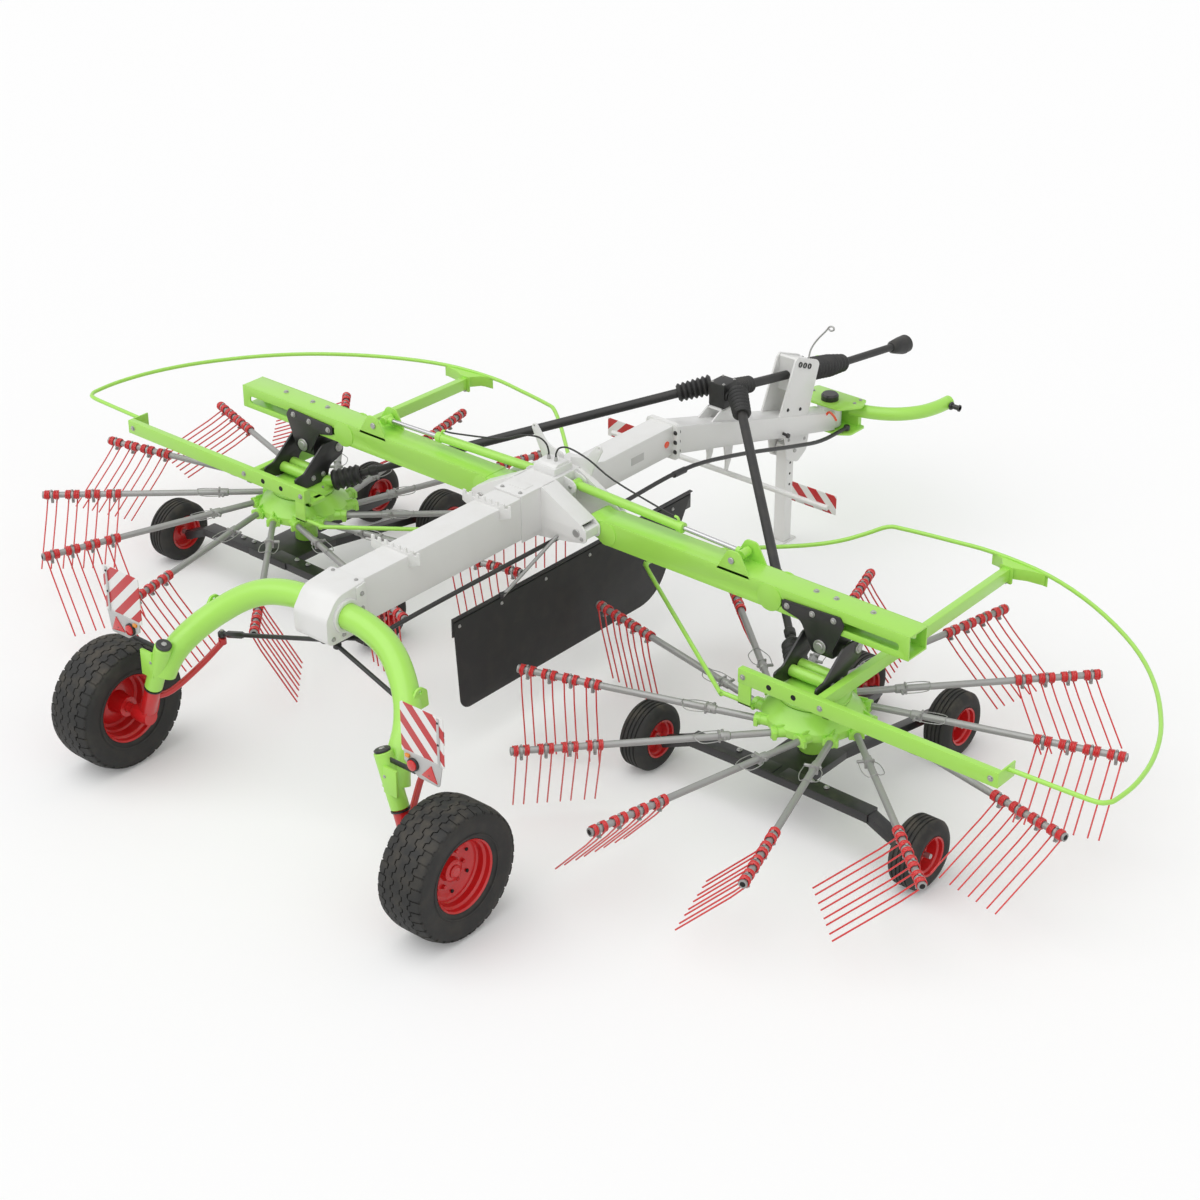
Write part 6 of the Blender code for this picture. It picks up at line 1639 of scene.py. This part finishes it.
            board.add(Finish.LAMP, turned([(0, 0.031), (0.008, 0.030), (0.013, 0.020)], (s * 1.10, -0.019, 0.935), (s * 1.10, -1, 0.935), 26),
                      plate([(s * 1.155, 0.895), (s * 1.265, 0.880), (s * 1.225, 0.975)], 0.006, "y", -0.007, ease=0.002))
            board.add(Finish.AMBER, box((s * 1.045, s * 1.075), (-0.016, -0.004), (0.965, 0.985), 0.003))
            board.bolts([((s * x, -0.006, z), (0, -1, 0), 0.005) for x, z in ((1.2775, 1.25), (1.2775, 1.12), (1.21, 0.91))], Finish.BLACK)
            board.piece("frame", "light_grey", [f"rear_board_{side}"])

    def _curtain(self) -> None:
        """Rubber swath curtain under its folded rail, on two struts."""
        curtain = self.shop.former("swath_curtain_works")
        x = self.curtain_x
        shape = rounded([(1.255, 0.90, 0), (1.300, 0.30, 0.08), (3.10, 0.30, 0.28), (3.43, 0.90, 0)], 8)
        curtain.add(Finish.SHEET, plate(shape, 0.009, "x", x, ease=0.002))
        curtain.add(Finish.BLACK, plate([(1.25, 0.805), (3.44, 0.805), (3.44, 0.925), (1.25, 0.925)], 0.010, "x", x - 0.007),
                    beam((x + 0.002, 1.25, 0.921), (x + 0.002, 3.44, 0.921), 0.022, 0.006, 0.001),
                    rod((x, 1.66, 0.90), (0.205, 1.66, 0.93), 0.016, 12), rod((x, 2.85, 0.90), (0.205, 2.85, 0.93), 0.016, 12))
        curtain.add(Finish.ZINC, rod((x, 1.66, 0.90), (0.232, 2.125, 1.13), 0.011, 14), rod((x, 2.85, 0.90), (0.232, 2.49, 1.13), 0.011, 14))
        curtain.bolts([((x + 0.005, y, 0.865), (1, 0, 0), 0.008) for y in (1.30, 1.66, 2.05, 2.45, 2.85, 3.25)])
        curtain.piece("frame", "rubber", ["swath_curtain"])

    def _hoses(self) -> None:
        """The two hydraulic hoses from the hose block over to the cylinders' ports."""
        for side, s in SIDES:
            base, eye = Vector(mirrored(s, (0.155, 2.385, 1.345))), Vector(mirrored(s, (1.405, 2.385, 1.307)))
            line = (eye - base).normalized()
            port = base + line * 0.755 + Vector((0, 0, 0.052))
            start = Vector((s * 0.028, 2.352, 1.492))
            path = smooth([start, start + Vector((s * 0.002, 0, 0.030)), start + Vector((s * 0.028, 0.004, 0.070)),
                           start + Vector((s * 0.10, 0.010, 0.086)), start + Vector((s * 0.24, 0.020, 0.050)),
                           start + Vector((s * 0.42, 0.030, -0.030)), port + Vector((-s * 0.10, 0.004, 0.010)), port], 4)
            path = [point + Vector((0, AXLE_TO_ROW, 0)) for point in path]
            hose = self.shop.former(f"hydraulic_hose_{side}")
            hose.add(Finish.HOSE, sweep([p - Vector((0, AXLE_TO_ROW, 0)) for p in path], 0.0055, 12))
            obj = hose.piece(None, "rubber")
            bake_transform(obj)


# ---------------------------------------------------------------- hitch, jack and steering
@dataclass
class Hitch:
    """Steered hitch yoke, parking jack and the rods that steer the rear wheels."""

    shop: Workshop
    pivot: Point = (0.0, 5.22, 0.78)

    def build(self) -> None:
        """Make the yoke, the jack leg and the steering rods."""
        yoke = self.shop.former("hitch_yoke_works")
        add = lambda *shapes: yoke.add(Finish.LIME, *shapes)  # noqa: E731
        upper = rounded([(-0.14, 5.12, 0.03), (0.14, 5.12, 0.03), (0.240, 5.26, 0.04), (0.20, 5.37, 0.02), (-0.20, 5.37, 0.02),
                         (-0.240, 5.26, 0.04)])
        lower = rounded([(-0.12, 5.14, 0.03), (0.12, 5.14, 0.03), (0.20, 5.20, 0.04), (0.20, 5.37, 0.02), (-0.20, 5.37, 0.02),
                         (-0.20, 5.20, 0.04)])
        add(plate(upper, 0.016, "z", 0.873, ease=0.003), plate(lower, 0.016, "z", 0.681, ease=0.003),
            box((-0.17, 0.17), (5.325, 5.365), (0.68, 0.875), 0.004))
        for s in (-1, 1):
            arm = smooth([mirrored(s, p) for p in ((0.10, 5.335, 0.80), (0.25, 5.375, 0.80), (0.39, 5.46, 0.80),
                                                   (0.49, 5.59, 0.80), (0.535, 5.73, 0.80), (0.548, 5.86, 0.80))], 5)
            add(sweep(arm, 0.046, 24), turned([(0, 0.046), (0.03, 0.038), (0.036, 0.028)], mirrored(s, (0.548, 5.825, 0.80)),
                                              mirrored(s, (0.548, 5.9, 0.80)), 22))
            yoke.add(Finish.BLACK, rod((s * 0.52, 5.815, 0.80), (s * 0.668, 5.815, 0.80), 0.0175, 22),
                     turned([(0, 0.021), (0.004, 0.024), (0.012, 0.024), (0.013, 0.021)], (s * 0.655, 5.815, 0.80), (s, 5.815, 0.80), 22),
                     turned([(0, 0.030), (0.01, 0.026)], (s * 0.598, 5.815, 0.80), (s, 5.815, 0.80), 22))
        yoke.add(Finish.BLACK, turned([(0, 0.058), (0.006, 0.060), (0.040, 0.060), (0.052, 0.050)], (0, 5.22, 0.875), (0, 5.22, 1), 30),
                 rod((0, 5.22, 0.655), (0, 5.22, 0.885), 0.0295, 24))
        yoke.bolts([((x, y, 0.881), (0, 0, 1), 0.009) for x, y in ((-0.17, 5.27), (0.17, 5.27), (0.17, 5.34))])
        yoke.piece("hitch_yoke", "lime_green", ["hitch_yoke"])
        jack = self.shop.former("jack_leg_works")
        jack.add(Finish.PALE, box((-0.045, 0.045), (4.68, 4.76), (0.014, 0.735), 0.007), box((-0.055, 0.055), (4.63, 4.81), (0.0, 0.014), 0.004),
                 rod((-0.058, 4.72, 0.70), (0.058, 4.72, 0.70), 0.032, 24))
        # Near-black rods of painted shade stand for the pin holes through the leg.
        for z in (0.60, 0.52, 0.44):
            jack.add(Finish.DARK, rod((-0.0455, 4.72, z), (0.0455, 4.72, z), 0.009, 14, 0.0003))
        jack.piece("jack_leg", "light_grey", ["jack_leg"])
        self._steering()

    def _steering(self) -> None:
        """Tie rods, bell crank and the long rod beside the beam."""
        for side, s in SIDES:
            inner, outer = Vector((s * 0.05, 0.49, 1.035)), Vector((s * 0.855, 0.443, 0.80))
            tie = self.shop.former(f"tie_rod_works_{side}")
            line = (outer - inner).normalized()
            tie.add(Finish.BLACK, rod(inner, outer, 0.0135, 16), turned([(0, 0.014), (0.02, 0.021), (0.14, 0.021), (0.15, 0.014)],
                                                                       outer - line * 0.19, outer, 6))
            for at in (inner, outer):
                tie.add(Finish.BLACK, turned([(0, 0.018), (0.006, 0.024), (0.028, 0.024), (0.036, 0.016)], at - Vector((0, 0, 0.0175)),
                                             at + Vector((0, 0, 1)), 20))
            tie.add(Finish.BOLT, rod(outer + Vector((0, 0, 0.015)), outer + Vector((0, 0, 0.030)), 0.011, 6))
            tie.piece(f"tie_rod_{side}", "black_paint", [f"tie_rod_{side}"])
        crank = self.shop.former("bellcrank_works")
        shape = rounded([(-0.075, 0.462, 0.02), (0.075, 0.462, 0.02), (0.080, 0.53, 0.02), (0.178, 0.598, 0.02), (0.178, 0.645, 0.02),
                         (0.035, 0.66, 0.02), (-0.035, 0.66, 0.02), (-0.080, 0.53, 0.02)])
        crank.add(Finish.BLACK, plate(shape, 0.012, "z", 1.066, ease=0.002), rod((0, 0.62, 1.058), (0, 0.62, 1.0995), 0.028, 24))
        crank.piece("bellcrank", "black_paint", ["bellcrank"])
        route = smooth([(0.15, 0.62, 1.037), (0.15, 1.2, 1.050), (0.15, 2.65, 1.050), (0.15, 3.40, 1.060), (0.15, 3.95, 0.965),
                        (0.15, 4.60, 0.795), (0.15, 4.92, 0.722), (0.15, 5.22, 0.714)], 5)
        rods = self.shop.former("steering_rod_works")
        rods.add(Finish.BLACK, sweep(route, 0.0138, 14), rod((0.15, 3.32, 1.058), (0.15, 3.44, 1.052), 0.021, 12))
        for y, z in ((0.62, 1.037), (5.22, 0.7135)):
            rods.add(Finish.BLACK, turned([(0, 0.018), (0.004, 0.022), (0.028, 0.022), (0.034, 0.018)], (0.15, y, z - 0.017), (0.15, y, 2), 20))
        rods.piece("steering_rod", "black_paint", ["steering_rod"])


# ---------------------------------------------------------------- light, floor and camera
@dataclass
class Studio:
    """Plain soft light, a pale floor and the camera."""

    lens: float = 74.76
    sensor: float = 36.0
    camera_at: Point = (8.7961, -10.55295, 7.8078)
    azimuth: float = 40.038
    elevation: float = 28.639
    floor_half: float = 60.0
    ambient: float = 0.55

    def build(self) -> None:
        """Make the floor, the lamps, the sky and the camera."""
        self._floor()
        self._world()
        self._sun("key", (-0.25, -0.55, 1.0), 1.55, 75.0)
        self._sun("fill", (0.75, -0.35, 0.55), 0.35, 60.0)
        a, e = math.radians(self.azimuth), math.radians(self.elevation)
        back = Vector((math.sin(a) * math.cos(e), -math.cos(a) * math.cos(e), math.sin(e)))
        data = bpy.data.cameras.new("camera")
        data.lens, data.sensor_width = self.lens, self.sensor
        data.clip_start, data.clip_end = 0.1, 500.0
        camera = bpy.data.objects.new("camera", data)
        camera.location = self.camera_at
        camera.rotation_mode = "QUATERNION"
        camera.rotation_quaternion = (-back).to_track_quat("-Z", "Y")
        bpy.context.scene.collection.objects.link(camera)
        bpy.context.scene.camera = camera
        bpy.context.scene.view_settings.view_transform = "Standard"

    def _floor(self) -> None:
        """A wide, pale, matt floor that keeps the machine's shadow."""
        bm = bmesh.new()
        bmesh.ops.create_grid(bm, x_segments=1, y_segments=1, size=self.floor_half)
        mesh = bpy.data.meshes.new("studio_floor")
        bm.to_mesh(mesh)
        bm.free()
        material = bpy.data.materials.new("studio_floor")
        material.use_nodes = True
        nodes, link = material.node_tree.nodes, material.node_tree.links.new
        shader, out = nodes["Principled BSDF"], nodes["Material Output"]
        shader.inputs["Base Color"].default_value = (0.86, 0.86, 0.86, 1.0)
        shader.inputs["Roughness"].default_value = 1.0
        shader.inputs["Specular IOR Level"].default_value = 0.0
        glow, path, either = nodes.new("ShaderNodeEmission"), nodes.new("ShaderNodeLightPath"), nodes.new("ShaderNodeMath")
        both, share = nodes.new("ShaderNodeAddShader"), nodes.new("ShaderNodeMath")
        glow.inputs["Color"].default_value = (1.0, 1.0, 1.0, 1.0)
        either.operation, either.use_clamp = "ADD", True
        link(path.outputs["Is Camera Ray"], either.inputs[0])
        link(path.outputs["Is Glossy Ray"], either.inputs[1])
        share.operation, share.inputs[1].default_value = "MULTIPLY", 0.10
        link(either.outputs[0], share.inputs[0])
        link(share.outputs[0], glow.inputs["Strength"])
        link(shader.outputs[0], both.inputs[0])
        link(glow.outputs[0], both.inputs[1])
        link(both.outputs[0], out.inputs["Surface"])
        mesh.materials.append(material)
        floor = bpy.data.objects.new("studio_floor", mesh)
        bpy.context.scene.collection.objects.link(floor)

    def _world(self) -> None:
        """An even sky, shown pale to the camera."""
        world = bpy.data.worlds.new("studio")
        bpy.context.scene.world = world
        world.use_nodes = True
        nodes, link = world.node_tree.nodes, world.node_tree.links.new
        sky, path = nodes["Background"], nodes.new("ShaderNodeLightPath")
        seen, blend = nodes.new("ShaderNodeMath"), nodes.new("ShaderNodeMapRange")
        seen.operation, seen.use_clamp = "ADD", True
        link(path.outputs["Is Camera Ray"], seen.inputs[0])
        link(path.outputs["Is Glossy Ray"], seen.inputs[1])
        link(seen.outputs[0], blend.inputs["Value"])
        blend.inputs["To Min"].default_value, blend.inputs["To Max"].default_value = self.ambient, 0.93
        link(blend.outputs[0], sky.inputs["Strength"])
        sky.inputs["Color"].default_value = (1.0, 1.0, 1.0, 1.0)

    @staticmethod
    def _sun(name: str, towards: Point, strength: float, softness: float) -> None:
        """A distant soft lamp, so that the whole floor is lit alike.

        Args:
            name: Its name.
            towards: Direction from the machine to the lamp.
            strength: Its strength.
            softness: Its width in degrees.
        """
        data = bpy.data.lights.new(name, "SUN")
        data.energy, data.angle = strength, math.radians(softness)
        lamp = bpy.data.objects.new(name, data)
        lamp.rotation_mode = "QUATERNION"
        lamp.rotation_quaternion = (-Vector(towards)).to_track_quat("-Z", "Y")
        bpy.context.scene.collection.objects.link(lamp)


# ---------------------------------------------------------------- CAD nodes that stay in view
NODE_FINISHES: tuple[tuple[str, Finish], ...] = (
    ("main_beam", Finish.PALE), ("arch_clamp", Finish.PALE), ("pivot_block", Finish.PALE), ("drawbar", Finish.PALE),
    ("front_board_bar", Finish.PALE), ("jack_leg", Finish.PALE), ("rear_board", Finish.STRIPE),
    ("axle_arch", Finish.LIME), ("boom", Finish.LIME), ("rotor_head", Finish.LIME), ("guard", Finish.LIME),
    ("hitch_yoke", Finish.LIME), ("fold_cylinder", Finish.LIME), ("fold_rod", Finish.CHROME),
    ("knuckle", Finish.RED), ("rim", Finish.RED), ("rotor_wheel", Finish.RUBBER), ("rotor", Finish.RED),
    ("tyre", Finish.RUBBER), ("swath_curtain", Finish.SHEET), ("drive", Finish.PLASTIC), ("input", Finish.PLASTIC),
    ("hanger", Finish.BLACK), ("cradle", Finish.BLACK), ("chassis", Finish.BLACK), ("tie_rod", Finish.BLACK),
    ("bellcrank", Finish.BLACK), ("steering_rod", Finish.BLACK))


def dress_nodes(shop: Workshop) -> None:
    """Give every CAD node its finish.

    Args:
        shop: The workshop.
    """
    known = [obj for obj in bpy.data.objects if obj.type == "MESH"]
    for obj in known:
        for start, finish in NODE_FINISHES:
            if obj.name.startswith(start):
                obj.data.materials.clear()
                obj.data.materials.append(shop.bench.material(finish))
                break
        else:
            LOG.warning("%s has no finish of its own", obj.name)


def corners(pair: tuple[Vector, Vector]) -> list[list[float]]:
    """A box's two corners as plain lists."""
    return [[float(value) for value in corner] for corner in pair]


def main() -> None:
    """Build the looks over the loaded frame."""
    logging.basicConfig(level=logging.INFO, format="%(name)s: %(message)s")
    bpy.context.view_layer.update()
    shop = Workshop()
    dress_nodes(shop)
    MainFrame(shop).build()
    RearAxle(shop).build()
    Hitch(shop).build()
    DriveLine(shop).build()
    for side, sign in SIDES:
        BoomSide(shop, side, sign).build()
        Rotor(shop, side, sign).build()
        RearWheel(shop, side, sign).build()
        for name, dx, dy in SMALL_WHEELS:
            CarriageWheel(shop, side, sign, name, dx, dy).build()
    shop.close()
    Studio().build()


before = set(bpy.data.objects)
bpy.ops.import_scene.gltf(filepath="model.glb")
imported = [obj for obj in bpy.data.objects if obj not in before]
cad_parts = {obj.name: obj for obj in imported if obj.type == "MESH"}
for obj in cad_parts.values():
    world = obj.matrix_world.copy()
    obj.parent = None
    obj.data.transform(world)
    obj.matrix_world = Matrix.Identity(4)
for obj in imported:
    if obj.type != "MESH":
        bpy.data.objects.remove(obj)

if __name__ == "__main__":
    main()
